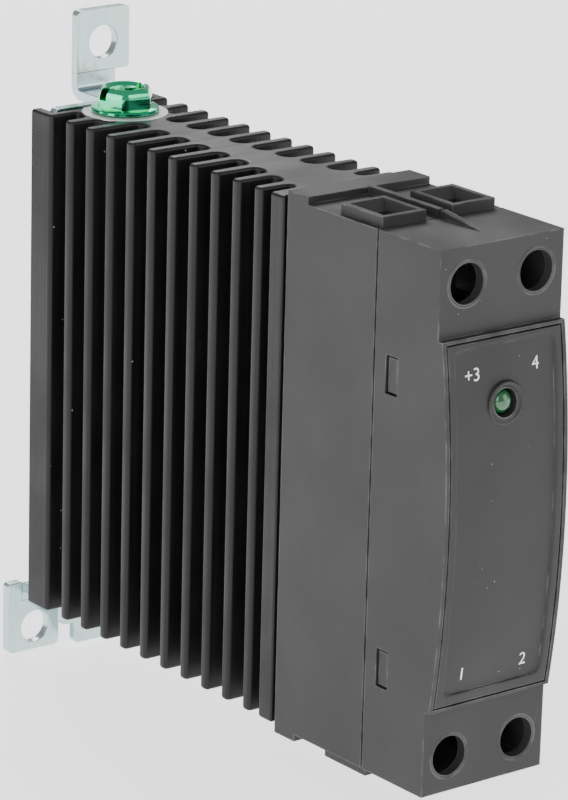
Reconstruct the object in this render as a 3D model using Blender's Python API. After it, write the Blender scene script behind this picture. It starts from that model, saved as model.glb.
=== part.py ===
"""Solid state relay, 22.5 mm wide, with a finned heat sink, for a DIN rail or a panel.

Frame: +X to the right of the front, -Y out of the front, +Z up. The origin is the middle of the
plane where the heat sink's two rear lips seat on the rail. Sizes below are in millimetres, and
every mesh is written in metres.
"""

import math

import bmesh
import bpy
from mathutils import Matrix, Vector

MM = 0.001
GAP = 0.3  # clearance between two touching pieces
ROUND = 24  # sides of a turned piece

# Overall
WIDTH = 22.5
HEIGHT = 81.0
HALF_W = WIDTH / 2
HALF_H = HEIGHT / 2
FRONT_Y = -99.0  # face of the terminal blocks
DRAFT = 0.05  # the blocks' faces lean back by this much at their outer ends
SEAM_Y = -85.1  # joint between the base housing and the front cover
HOUSING_REAR_Y = -64.7
WALL = 1.5

# Heat sink
SINK_FRONT_Y = -63.8
FRONT_PLATE = 3.4
FIN_COUNT = 10
FIN_PITCH = 5.27
FIN_THICK = 1.9
FIN_TAPER = 0.1  # how much each face of a fin leans out from its tip to its root
LAST_FIN_Y = -10.0
REAR_PLATE_FRONT_Y = -5.5
CHANNEL_Y = -3.8
LIP_WIDTH = 1.85
WEB_HALF = 2.3
WEB_ROOT_HALF = 6.2
WEB_CURVE = 4
BOSS_Y = -9.3
BOSS_R = 6.8
ROOT_ROUND = 1.2
MODULE_SCREWS = (33, -33)  # heights of the screws that hold the relay on the sink

# Terminals
TERMINAL_X = 6.35
TERMINAL_Z = 35.05
SCREW_HOLE_R = 3.0
SCREW_HEAD_R = 2.6
SCREW_HEAD_Y = (-92.7, -90.5)
SCREW_TIP_Y = -84.5
SCREW_SHANK_R = 1.5
CLAMP_Y = (-86.6, -76.7)
CLAMP_WINDOW_Y = (-84.8, -77.9)
CLAMP_HALF_X = 3.2
CLAMP_WINDOW_HALF_X = 2.45
CLAMP_HALF_Z = 2.45
BAR_Y = (-84.2, -83.1)
BAR_HALF_X = 2.1
BAR_LEG_Z = (28.4, 29.5)

# Wire entries
ENTRY_Y = (-85.05, -75.6)
ENTRY_HALF_X = 3.95
ENTRY_RISE = 1.5
ENTRY_HOLE_Y = (-82.9, -78.3)
ENTRY_HOLE_HALF_X = 2.5
ENTRY_RIM = 0.9

# Label plate
PLATE_HALF_Z = 27.5
PLATE_END_Y = FRONT_Y - 0.95
PLATE_MID_Y = FRONT_Y - 3.05
RIM = 0.65  # side rims of the cover beside the plate
LEDGE = 0.5  # ledge of the cover above and below the plate
POCKET_Y = FRONT_Y + 0.4
LED_Z = 17.2
LED_R = 1.8
LED_COLLAR_R = 2.2
LED_HOLE_R = LED_R + GAP
LED_FRONT_Y = -101.0
LED_DOME = 1.5  # height of the lens's dome

# Electronics
BOARD_Y = (-94.5, -92.9)
SUBSTRATE_Y = (-69.0, -68.0)

# Snap windows in the cover's sides, as (low z, high z)
WINDOWS = ((17.2, 22.9), (-26.8, -21.0))
WINDOW_Y = (-90.5, -87.9)

# Rail side
SHEET = 1.6
BRACKET_Y = (-3.6, -3.6 + SHEET)
BRACKET_HALF_X = 9.1
EAR_Y = (5.3, 5.3 + SHEET)
LEG_Z = (39.2, 39.2 + SHEET)
LEG_X = (1.2, 8.6)
UPPER_EAR_TOP = 53.4
LOWER_EAR_FOOT = -51.2
GUIDE_Z = (-31.0, -23.5)
GUIDE_REAR_Y = 4.0
GUIDE_WALL = 0.8
EAR_HOLE_R = 2.65
UPPER_EAR_HOLE = (6.2, 48.0)
LOWER_EAR_HOLE = (-6.0, -47.3)
RAIL_HALF = 17.5
RAIL_SLOT = 1.5
BRACKET_SCREWS = ((0, 28), (-5, -28))
LATCH_Y = (1.5, 2.9)
LATCH_X = (-0.9, 8.0)
LATCH_TAB_Z = -50.2
SPRING_Z = (-38.5, -30.5)
SPRING_X = 3.5
SPRING_Y = -0.25


def clear_scene():
    for item in list(bpy.data.objects):
        bpy.data.objects.remove(item, do_unlink=True)


def material(name, colour, metallic, roughness):
    made = bpy.data.materials.get(name) or bpy.data.materials.new(name)
    made.use_nodes = True
    shader = made.node_tree.nodes["Principled BSDF"]
    shader.inputs["Base Color"].default_value = (*colour, 1.0)
    shader.inputs["Metallic"].default_value = metallic
    shader.inputs["Roughness"].default_value = roughness
    return made


def finish(name):
    """The material of a finish, by its plain name: linear colour, metallic value and roughness."""
    table = {
        "dark_plastic": ((0.105, 0.107, 0.11), 0.0, 0.62),
        "black_anodised": ((0.03, 0.029, 0.028), 0.35, 0.5),
        "zinc_plated_steel": ((0.72, 0.77, 0.78), 1.0, 0.28),
        "green_plated_steel": ((0.05, 0.5, 0.22), 1.0, 0.15),
        "nickel_plated_brass": ((0.66, 0.62, 0.52), 1.0, 0.3),
        "tinned_copper": ((0.75, 0.72, 0.68), 1.0, 0.35),
        "green_lens": ((0.03, 0.16, 0.06), 0.0, 0.2),
        "board_green": ((0.02, 0.12, 0.05), 0.0, 0.45),
        "white_ceramic": ((0.8, 0.79, 0.76), 0.0, 0.5),
        "black_epoxy": ((0.02, 0.02, 0.02), 0.0, 0.5),
        "film_yellow": ((0.6, 0.4, 0.05), 0.0, 0.4),
        "resistor_grey": ((0.25, 0.26, 0.28), 0.0, 0.5),
        "bare_aluminium": ((0.75, 0.76, 0.77), 1.0, 0.35),
        "silicone_pad": ((0.45, 0.5, 0.55), 0.0, 0.8),
        "spring_steel": ((0.5, 0.5, 0.5), 1.0, 0.3),
    }
    return material(name, *table[name])


def add_object(name, shape, look, origin=(0, 0, 0)):
    """Turns a bmesh in millimetres into an object in metres, with its origin at the given place."""
    place = Vector(origin)
    bmesh.ops.translate(shape, vec=-place, verts=shape.verts)
    bmesh.ops.scale(shape, vec=(MM, MM, MM), verts=shape.verts)
    bmesh.ops.recalc_face_normals(shape, faces=shape.faces)
    mesh = bpy.data.meshes.new(name)
    shape.to_mesh(mesh)
    shape.free()
    made = bpy.data.objects.new(name, mesh)
    made.location = place * MM
    bpy.context.collection.objects.link(made)
    if look:
        mesh.materials.append(finish(look))
    return made


def box_shape(low, high):
    shape = bmesh.new()
    bmesh.ops.create_cube(shape, size=1.0)
    size = [b - a for a, b in zip(low, high)]
    middle = [(a + b) / 2 for a, b in zip(low, high)]
    bmesh.ops.scale(shape, vec=size, verts=shape.verts)
    bmesh.ops.translate(shape, vec=middle, verts=shape.verts)
    return shape


def prism_shape(outline, axis, low, high):
    """Extrudes an outline along X, Y or Z. The outline's pairs are the other two coordinates in order."""
    shape = bmesh.new()
    along = "xyz".index(axis)

    def corner(pair, level):
        place = list(pair)
        place.insert(along, level)
        return shape.verts.new(place)

    base = [corner(pair, low) for pair in outline]
    top = [corner(pair, high) for pair in outline]
    shape.faces.new(base)
    shape.faces.new(top)
    count = len(outline)
    for i in range(count):
        j = (i + 1) % count
        shape.faces.new((base[i], base[j], top[j], top[i]))
    bmesh.ops.triangulate(shape, faces=shape.faces[:])
    return shape


def turned_shape(profile, axis, centre, sides=ROUND):
    """Turns (radius, height) pairs about an axis through centre. The first and last radius are 0."""
    shape = bmesh.new()
    points = [shape.verts.new((radius, 0.0, height)) for radius, height in profile]
    edges = [shape.edges.new(pair) for pair in zip(points, points[1:])]
    bmesh.ops.spin(
        shape,
        geom=points + edges,
        cent=(0, 0, 0),
        axis=(0, 0, 1),
        angle=2 * math.pi,
        steps=sides,
        use_merge=True,
    )
    bmesh.ops.remove_doubles(shape, verts=shape.verts, dist=1e-4)
    turn = {"z": Matrix.Identity(3), "y": Matrix.Rotation(-math.pi / 2, 3, "X")}
    turn["x"] = Matrix.Rotation(math.pi / 2, 3, "Y")
    bmesh.ops.rotate(shape, cent=(0, 0, 0), matrix=turn[axis], verts=shape.verts)
    bmesh.ops.translate(shape, vec=centre, verts=shape.verts)
    return shape


def rod_shape(radius, axis, centre, low, high, sides=ROUND):
    """A plain round bar about an axis through centre, from low to high along it."""
    profile = ((0, low), (radius, low), (radius, high), (0, high))
    return turned_shape(profile, axis, centre, sides)


def combine(target, shape, operation, solver="EXACT"):
    """Adds a Boolean modifier to target with a hidden helper object made from shape."""
    helper = add_object(f"{target.name}_tool", shape, None)
    helper.hide_render = True
    helper.display_type = "WIRE"
    modifier = target.modifiers.new(operation.lower(), "BOOLEAN")
    modifier.operation = operation
    modifier.solver = solver
    modifier.object = helper


def cut(target, *shapes, solver="EXACT"):
    for shape in shapes:
        combine(target, shape, "DIFFERENCE", solver)


def join(target, *shapes, solver="EXACT"):
    for shape in shapes:
        combine(target, shape, "UNION", solver)


def smooth(made, angle=35):
    made.data.shade_smooth()
    made.data.set_sharp_from_angle(angle=math.radians(angle))


def web_half_width(y):
    """Half the web's width at y: it widens ever faster towards the front, with a round boss behind."""
    run = (REAR_PLATE_FRONT_Y - y) / (REAR_PLATE_FRONT_Y - SINK_FRONT_Y - FRONT_PLATE)
    half = WEB_HALF + (WEB_ROOT_HALF - WEB_HALF) * max(0.0, run) ** WEB_CURVE
    reach = BOSS_R**2 - (y - BOSS_Y) ** 2
    return max(half, math.sqrt(reach)) if reach > 0 else half


def gap_root(low, high, steps=8):
    """Points down one side of the web in the gap between two fins, with a rounded root."""
    middle, half = (low + high) / 2, (high - low) / 2
    points = []
    for i in range(steps + 1):
        t = -math.cos(math.pi * i / steps)
        y = middle + half * t
        points.append((web_half_width(y) + ROOT_ROUND * (1 - math.sqrt(max(0.0, 1 - t * t))), y))
    return points


def make_heatsink():
    """Black extrusion: front plate, ten fins each side of a web, and a rear plate with two lips."""
    fins = [LAST_FIN_Y - FIN_PITCH * i for i in reversed(range(FIN_COUNT))]
    edges = [SINK_FRONT_Y + FRONT_PLATE]
    for y in fins:
        edges += [y - FIN_THICK / 2, y + FIN_THICK / 2]
    edges.append(REAR_PLATE_FRONT_Y)
    side = [(HALF_W, SINK_FRONT_Y)]
    for low, high in zip(edges[0::2], edges[1::2]):
        root = gap_root(low + FIN_TAPER, high - FIN_TAPER)
        side += [(HALF_W, low), *root, (HALF_W, high)]
    side += [(HALF_W, 0), (HALF_W - LIP_WIDTH, 0), (HALF_W - LIP_WIDTH, CHANNEL_Y)]
    outline = side + [(-x, y) for x, y in reversed(side)]
    sink = add_object("heatsink", prism_shape(outline, "z", -HALF_H, HALF_H), "black_anodised")
    cut(sink, rod_shape(2.6, "z", (0, BOSS_Y, 0), 29.5, HALF_H + 1, 20))
    for x, z in BRACKET_SCREWS:
        cut(sink, rod_shape(1.7, "y", (x, 0, z), -11.5, CHANNEL_Y + 1, 16))
    for z in MODULE_SCREWS:
        cut(sink, rod_shape(1.7, "y", (0, 0, z), SINK_FRONT_Y - 1, -56.5, 16))
    smooth(sink, 30)


def snap_tab(sign, low, high):
    """One latch tongue of the base housing: its root, its spring arm and its tooth."""
    z0, z1 = low + 0.3, high - 0.3
    root = (sorted((sign * 9.0, sign * 10.0)), (-84.8, -82.5))
    arm = (sorted((sign * 8.7, sign * 9.45)), (WINDOW_Y[0] - 0.6, -82.5))
    tooth = (sorted((sign * 9.2, sign * 11.0)), (WINDOW_Y[0] + 0.35, WINDOW_Y[1] - 0.35))
    return [box_shape((x[0], y[0], z0), (x[1], y[1], z1)) for x, y in (root, arm, tooth)]


def funnel_shape(x, sign):
    """The tapered mouth of a wire entry, from its hole in the wall out to the rim of its block."""
    low, high = HALF_H + 0.1, HALF_H + ENTRY_RISE
    past = (high + 0.5 - low) / (high - low)
    hole = (x - ENTRY_HOLE_HALF_X, x + ENTRY_HOLE_HALF_X, *ENTRY_HOLE_Y)
    reach = ENTRY_HALF_X - ENTRY_RIM
    mouth = (x - reach, x + reach, ENTRY_Y[0] + ENTRY_RIM, ENTRY_Y[1] - ENTRY_RIM)
    top = [a + (b - a) * past for a, b in zip(hole, mouth)]
    shape = bmesh.new()
    rings = []
    for (left, right, front, rear), z in ((hole, low), (top, high + 0.5)):
        corners = ((left, front), (right, front), (right, rear), (left, rear))
        rings.append([shape.verts.new((*corner, sign * z)) for corner in corners])
    shape.faces.new(rings[0])
    shape.faces.new(rings[1])
    for i in range(4):
        j = (i + 1) % 4
        shape.faces.new((rings[0][i], rings[0][j], rings[1][j], rings[1][i]))
    return shape


def make_rear_housing():
    """Base housing: a frame behind the seam with lips, wire entries, snap tongues and a rib."""
    shell = add_object(
        "rear_housing",
        box_shape((-HALF_W, SEAM_Y, -HALF_H), (HALF_W, HOUSING_REAR_Y, HALF_H)),
        "dark_plastic",
    )
    for sign in (1, -1):
        lip = sorted((sign * (HALF_H - 0.5), sign * (HALF_H + 1.1)))
        join(shell, box_shape((-HALF_W, -69.4, lip[0]), (HALF_W, HOUSING_REAR_Y, lip[1])))
        entry = sorted((sign * (HALF_H - 0.5), sign * (HALF_H + ENTRY_RISE)))
        rib = sorted((sign * (HALF_H - 0.5), sign * (HALF_H + 1.2)))
        join(shell, box_shape((-0.1, -84.9, rib[0]), (0.9, -69.0, rib[1])))
        for x in (TERMINAL_X, -TERMINAL_X):
            low = (x - ENTRY_HALF_X, ENTRY_Y[0], entry[0])
            join(shell, box_shape(low, (x + ENTRY_HALF_X, ENTRY_Y[1], entry[1])))
    inner = HALF_H - WALL
    cut(shell, box_shape((-HALF_W + WALL, SEAM_Y - 1, -inner), (HALF_W - WALL, -66.2, inner)))
    cut(shell, box_shape((-8.6, -68, -35.5), (8.6, HOUSING_REAR_Y + 1, 35.5)))
    for sign in (1, -1):
        hole = sorted((sign * (inner - 1), sign * (HALF_H + 3)))
        wall = sorted((sign * 30.2, sign * (inner + 0.5)))
        join(shell, box_shape((-0.45, SEAM_Y, wall[0]), (0.45, -71.0, wall[1])))
        for x in (TERMINAL_X, -TERMINAL_X):
            low = (x - ENTRY_HOLE_HALF_X, ENTRY_HOLE_Y[0], hole[0])
            cut(shell, box_shape(low, (x + ENTRY_HOLE_HALF_X, ENTRY_HOLE_Y[1], hole[1])))
            cut(shell, funnel_shape(x, sign))
        for low, high in WINDOWS:
            join(shell, *snap_tab(sign, low, high))


def bulge(z, end_y, mid_y):
    """The y of a shallow arc over the label plate's height, end_y at its ends and mid_y half way."""
    return mid_y + (end_y - mid_y) * (z / PLATE_HALF_Z) ** 2


def arc_points(half, end_y, mid_y, steps=20):
    heights = [half - 2 * half * i / steps for i in range(steps + 1)]
    return [(bulge(z, end_y, mid_y), z) for z in heights]


def make_front_cover():
    """Front cover: terminal blocks with screw holes, side rims along the label plate, and windows."""
    rear = SEAM_Y - GAP
    outline = [(rear, HALF_H), (FRONT_Y + DRAFT, HALF_H), (FRONT_Y, PLATE_HALF_Z)]
    outline += arc_points(PLATE_HALF_Z, PLATE_END_Y, PLATE_MID_Y)
    outline += [(FRONT_Y, -PLATE_HALF_Z), (FRONT_Y + DRAFT, -HALF_H), (rear, -HALF_H)]
    cover = add_object("front_cover", prism_shape(outline, "x", -HALF_W, HALF_W), "dark_plastic")
    inner_y, inner_z = FRONT_Y + 1.6, HALF_H - WALL
    inner_x = HALF_W - WALL
    cavity = box_shape((-inner_x, inner_y, -inner_z), (inner_x, rear + 1, inner_z))
    side, half = HALF_W - RIM, PLATE_HALF_Z - LEDGE
    pocket = box_shape((-side, PLATE_MID_Y - 1, -half), (side, POCKET_Y, half))
    light_hole = rod_shape(LED_HOLE_R + 0.2, "y", (0, 0, LED_Z), POCKET_Y - 1, inner_y + 1, 20)
    cut(cover, cavity, pocket, light_hole, solver="MANIFOLD")
    for sign in (1, -1):
        wedge = [(rear - 0.1, sign * (HALF_H - 0.6)), (rear - 0.1, sign * (HALF_H + 1.2))]
        wedge += [(-94.8, sign * (HALF_H - 0.05)), (-94.8, sign * (HALF_H - 0.6))]
        join(cover, prism_shape(wedge, "x", -0.1, 0.9), solver="MANIFOLD")
        for x in (TERMINAL_X, -TERMINAL_X):
            centre = (x, 0, sign * TERMINAL_Z)
            hole = rod_shape(SCREW_HOLE_R, "y", centre, FRONT_Y - 1, inner_y + 1, 40)
            cut(cover, hole, solver="MANIFOLD")
        for low, high in WINDOWS:
            side = sorted((sign * 9.0, sign * 12.0))
            low_corner = (side[0], WINDOW_Y[0], low)
            window = box_shape(low_corner, (side[1], WINDOW_Y[1], high))
            cut(cover, window, solver="MANIFOLD")


def make_label_plate():
    """Curved label plate with a round hole for the status light."""
    half = PLATE_HALF_Z - LEDGE - 0.2
    side = HALF_W - RIM - 0.2
    outline = arc_points(half, PLATE_END_Y, PLATE_MID_Y)
    outline += [(POCKET_Y - GAP, -half), (POCKET_Y - GAP, half)]
    plate = add_object("label_plate", prism_shape(outline, "x", -side, side), "dark_plastic")
    cut(plate, rod_shape(LED_HOLE_R, "y", (0, 0, LED_Z), PLATE_MID_Y - 1, POCKET_Y + 1))


def make_status_led():
    """Round status light with a domed lens and a collar, standing on the control board."""
    base = LED_FRONT_Y + LED_DOME
    dome = [(LED_R * math.sin(a), base - LED_DOME * math.cos(a)) for a in (0, 0.4, 0.8, 1.2)]
    collar, rear = BOARD_Y[0] - 1.2, BOARD_Y[0] - GAP
    profile = [*dome, (LED_R, base), (LED_R, collar), (LED_COLLAR_R, collar), (LED_COLLAR_R, rear), (0, rear)]
    smooth(add_object("status_led", turned_shape(profile, "y", (0, 0, LED_Z), 20), "green_lens"))


def make_terminals():
    """Four terminals: input 3 and 4 on top, output 1 and 2 below, each a screw, a cage and a bar."""
    places = {
        1: (-TERMINAL_X, -TERMINAL_Z),
        2: (TERMINAL_X, -TERMINAL_Z),
        3: (-TERMINAL_X, TERMINAL_Z),
        4: (TERMINAL_X, TERMINAL_Z),
    }
    for number, (x, z) in places.items():
        make_terminal_screw(number, x, z)
        make_terminal_clamp(number, x, z)
        make_terminal_bar(number, x, z)


def make_terminal_screw(number, x, z):
    front, under = SCREW_HEAD_Y
    head = ((0, front), (SCREW_HEAD_R - 0.4, front), (SCREW_HEAD_R, front + 0.4))
    rest = ((SCREW_HEAD_R, under), (SCREW_SHANK_R, under), (SCREW_SHANK_R, SCREW_TIP_Y))
    profile = [(r, y) for r, y in (*head, *rest, (0, SCREW_TIP_Y))]
    shape = turned_shape(profile, "y", (x, 0, z))
    screw = add_object(f"terminal_screw_{number}", shape, "nickel_plated_brass", (x, 0, z))
    cut(screw, box_shape((x - 0.45, front - 1, z - 3), (x + 0.45, front + 1.1, z + 3)))
    smooth(screw)


def make_terminal_clamp(number, x, z):
    low = (x - CLAMP_HALF_X, CLAMP_Y[0], z - CLAMP_HALF_Z)
    high = (x + CLAMP_HALF_X, CLAMP_Y[1], z + CLAMP_HALF_Z)
    clamp = add_object(f"terminal_clamp_{number}", box_shape(low, high), "nickel_plated_brass")
    low = (x - CLAMP_WINDOW_HALF_X, CLAMP_WINDOW_Y[0], z - 4)
    cut(clamp, box_shape(low, (x + CLAMP_WINDOW_HALF_X, CLAMP_WINDOW_Y[1], z + 4)))
    cut(clamp, rod_shape(SCREW_SHANK_R + GAP, "y", (x, 0, z), -88, -84, 16))


def make_terminal_bar(number, x, z):
    """An L-shaped bar. The input pair runs forward to the control board, the output pair back."""
    sign = 1 if z > 0 else -1
    upright = sorted((sign * BAR_LEG_Z[0], sign * 38.2))
    leg = sorted(sign * edge for edge in BAR_LEG_Z)
    leg_y = (BOARD_Y[1] + GAP, BAR_Y[1]) if z > 0 else (BAR_Y[0], SUBSTRATE_Y[0] - GAP)
    low = (x - BAR_HALF_X, BAR_Y[0], upright[0])
    shape = box_shape(low, (x + BAR_HALF_X, BAR_Y[1], upright[1]))
    bar = add_object(f"terminal_bar_{number}", shape, "tinned_copper")
    join(bar, box_shape((x - BAR_HALF_X, leg_y[0], leg[0]), (x + BAR_HALF_X, leg_y[1], leg[1])))


def make_electronics():
    """Inside: the input board with its parts, and the power stage on its heat spreader."""
    mounted = BOARD_Y[1] + GAP  # front of the parts that stand on the board's rear face
    chip = SUBSTRATE_Y[0] - GAP  # rear of the thyristors
    blocks = (
        ("control_board", "board_green", (-9.0, BOARD_Y[0], -30.0), (9.0, BOARD_Y[1], 30.0)),
        ("optocoupler", "black_epoxy", (-3.2, mounted, 1.0), (3.2, mounted + 3.5, 9.6)),
        ("snubber_capacitor", "film_yellow", (-6.0, mounted, -18.0), (6.0, mounted + 10.6, -8.0)),
        ("power_substrate", "white_ceramic", (-7.8, SUBSTRATE_Y[0], -30.0), (7.8, SUBSTRATE_Y[1], 24.0)),
        ("thyristor_1", "black_epoxy", (-5.0, chip - 3.0, 3.0), (5.0, chip, 16.0)),
        ("thyristor_2", "black_epoxy", (-5.0, chip - 3.0, -16.0), (5.0, chip, -3.0)),
    )
    for name, look, low, high in blocks:
        add_object(name, box_shape(low, high), look)
    lead, body = 0.35, 1.8
    profile = [(0, -7.5), (lead, -7.5), (lead, -4.6), (body, -4.4), (body, 4.4), (lead, 4.6)]
    shape = turned_shape([*profile, (lead, 7.5), (0, 7.5)], "x", (0, -90.5, -23.5), 16)
    smooth(add_object("snubber_resistor", shape, "resistor_grey"))
    spreader = add_object(
        "heat_spreader_plate",
        box_shape((-8.3, -67.7, -35.2), (8.3, HOUSING_REAR_Y, 35.2)),
        "bare_aluminium",
    )
    pad = add_object(
        "thermal_pad",
        box_shape((-8.0, -64.45, -35.0), (8.0, -64.05, 35.0)),
        "silicone_pad",
    )
    for z in MODULE_SCREWS:
        cut(spreader, rod_shape(1.7, "y", (0, 0, z), -69, -63, 16))
        cut(pad, rod_shape(1.7, "y", (0, 0, z), -66, -63, 16))


def pan_screw(name, place, tip_y, head_y, turn=1):
    """A pan-head screw along Y: its tip, its shank and its head, whose flat end is towards turn."""
    head = head_y + turn * 1.8
    profile = [(0, tip_y), (1.35, tip_y), (1.35, head_y), (2.6, head_y)]
    profile += [(2.6, head_y + turn * 1.2), (2.0, head), (0, head)]
    shape = turned_shape(profile, "y", place, 20)
    made = add_object(name, shape, "zinc_plated_steel")
    slot = sorted((head - turn * 0.8, head + turn))
    x, _, z = place
    cut(made, box_shape((x - 3, slot[0], z - 0.35), (x + 3, slot[1], z + 0.35)))
    smooth(made)


def make_fasteners():
    for number, z in enumerate(MODULE_SCREWS, 1):
        pan_screw(f"module_screw_{number}", (0, 0, z), -57.0, -68.0, -1)
    for number, (x, z) in enumerate(BRACKET_SCREWS, 1):
        pan_screw(f"bracket_screw_{number}", (x, 0, z), -11.0, -1.8)


def make_ground_screw():
    """Slotted hex-head earth screw with a flange, turning about an upright axis through the boss."""
    flange, top = HALF_H + 0.25, 44.6
    profile = [(0, 30.0), (2.3, 30.0), (2.3, flange), (5.3, flange), (5.3, flange + 0.6)]
    profile += [(4.4, flange + 1.0), (0, flange + 1.0)]
    centre = (0, BOSS_Y, 0)
    screw = add_object("ground_screw", turned_shape(profile, "z", centre), "green_plated_steel", centre)
    corner = 4.0 / math.cos(math.pi / 6)
    angles = [math.pi / 3 * i + 0.35 for i in range(6)]
    outline = [(corner * math.cos(a), BOSS_Y + corner * math.sin(a)) for a in angles]
    join(screw, prism_shape(outline, "z", flange + 0.5, top))
    dish = [(0, top - 0.7), (2.6, top - 0.7), (3.3, top + 0.3), (0, top + 0.3)]
    cut(screw, turned_shape(dish, "z", centre))
    cut(screw, box_shape((-6, BOSS_Y - 0.6, top - 1.9), (6, BOSS_Y + 0.6, top + 1)))
    smooth(screw)


def make_mounting_bracket():
    """Bent steel bracket in the sink's rear channel, with two ears, a rail hook and latch guides."""
    front, rear = BRACKET_Y
    shape = box_shape((-BRACKET_HALF_X, front, -LEG_Z[1]), (BRACKET_HALF_X, rear, LEG_Z[1]))
    bracket = add_object("mounting_bracket", shape, "zinc_plated_steel")
    near, far = LEG_X
    low, high = GUIDE_Z
    wall, inside = GUIDE_WALL, GUIDE_REAR_Y - GUIDE_WALL
    left, right = LATCH_X[0] - GAP - wall, LATCH_X[1] + GAP + wall
    pieces = (
        ((near, front, LEG_Z[0]), (far, EAR_Y[1], LEG_Z[1])),  # upper leg
        ((near, EAR_Y[0], LEG_Z[0]), (far, EAR_Y[1], 44.0)),  # upper ear, below its shoulder
        ((near, EAR_Y[0], 43.4), (HALF_W, EAR_Y[1], UPPER_EAR_TOP)),  # upper ear
        ((-far, front, -LEG_Z[1]), (-1.3, EAR_Y[1], -LEG_Z[0])),  # lower leg
        ((-HALF_W, EAR_Y[0], LOWER_EAR_FOOT), (-1.3, EAR_Y[1], -LEG_Z[0])),  # lower ear
        ((-8.0, rear - 0.5, 18.0), (8.0, RAIL_SLOT + 1.5, 19.6)),  # upper rail hook
        ((-8.0, RAIL_SLOT, 15.6), (8.0, RAIL_SLOT + 1.5, 19.6)),  # its lip behind the rail
        ((right - wall, rear - 0.5, low), (right, GUIDE_REAR_Y, high)),  # right latch guide
        ((right - 2.1, inside, low), (right, GUIDE_REAR_Y, high)),
        ((right - 1.7, 0.4, low), (right, 0.4 + wall, high)),
        ((left, rear - 0.5, low), (left + wall, GUIDE_REAR_Y, high)),  # left latch guide
        ((left, inside, low), (left + 2.1, GUIDE_REAR_Y, high)),
        ((left, 0.4, low), (left + 1.7, 0.4 + wall, high)),
        ((1.5, rear - 0.5, -40.0), (5.5, 1.2, -38.8)),  # fixed seat of the spring
    )
    join(bracket, *(box_shape(low, high) for low, high in pieces), solver="MANIFOLD")
    holes = [(place, EAR_HOLE_R, *EAR_Y) for place in (UPPER_EAR_HOLE, LOWER_EAR_HOLE)]
    holes += [(place, 1.7, front, rear) for place in BRACKET_SCREWS]
    for (x, z), radius, low, high in holes:
        hole = rod_shape(radius, "y", (x, 0, z), low - 1, high + 1)
        cut(bracket, hole, solver="MANIFOLD")


def make_din_latch():
    """Sprung latch plate: its upper edge hooks behind the rail, its lower tab is pulled down."""
    left, right = LATCH_X
    front, rear = LATCH_Y
    outline = [(left, -15.6), (left, LATCH_TAB_Z), (right, LATCH_TAB_Z), (right, -15.6)]
    latch = add_object("din_latch", prism_shape(outline, "y", front, rear), "zinc_plated_steel")
    stop = RAIL_HALF + GAP
    stop_bar = box_shape((left, -0.6, -stop - 1.4), (right, front + 0.5, -stop))
    shoulder = box_shape((-3.3, front, -46.6), (left + 0.5, rear, -42.0))
    seat = SPRING_Z[1] + GAP
    lug = box_shape((1.5, -1.6, seat), (5.5, front + 0.5, seat + 1.2))
    join(latch, stop_bar, shoulder, lug, solver="MANIFOLD")
    slot = box_shape((1.2, front - 1, -48.2), (6.0, rear + 1, -46.8))
    cut(latch, slot, solver="MANIFOLD")


def make_latch_spring():
    """Compression spring between the bracket's seat and the latch's lug, one closed coil."""
    low, high = SPRING_Z
    radius, wire, turns, steps, sides = 1.2, 0.25, 6, 12, 6
    count = turns * steps
    shape = bmesh.new()
    rings = []
    for i in range(count + 1):
        angle = 2 * math.pi * i / steps
        height = low + wire + (high - low - 2 * wire) * i / count
        out = Vector((math.cos(angle), math.sin(angle), 0))
        centre = Vector((SPRING_X, SPRING_Y, height)) + out * radius
        ring = []
        for j in range(sides):
            turn = 2 * math.pi * j / sides
            spot = centre + (out * math.cos(turn) + Vector((0, 0, 1)) * math.sin(turn)) * wire
            ring.append(shape.verts.new(spot))
        rings.append(ring)
    for first, second in zip(rings, rings[1:]):
        for j in range(sides):
            k = (j + 1) % sides
            shape.faces.new((first[j], first[k], second[k], second[j]))
    shape.faces.new(rings[0])
    shape.faces.new(rings[-1])
    smooth(add_object("latch_spring", shape, "spring_steel"))


def main():
    clear_scene()
    make_heatsink()
    make_rear_housing()
    make_front_cover()
    make_label_plate()
    make_status_led()
    make_terminals()
    make_electronics()
    make_fasteners()
    make_ground_screw()
    make_mounting_bracket()
    make_din_latch()
    make_latch_spring()


main()
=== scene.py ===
"""Looks of the slim solid state relay: shells, heat sink, bracket, screws and their finishes.

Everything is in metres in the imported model's own frame: +X to the right seen from the front, -Y out
of the front, +Z up, with the origin in the plane where the heat sink seats on its rail.
"""

import math

import bmesh
import bpy
import numpy as np
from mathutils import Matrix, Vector
from mathutils.geometry import tessellate_polygon


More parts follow.
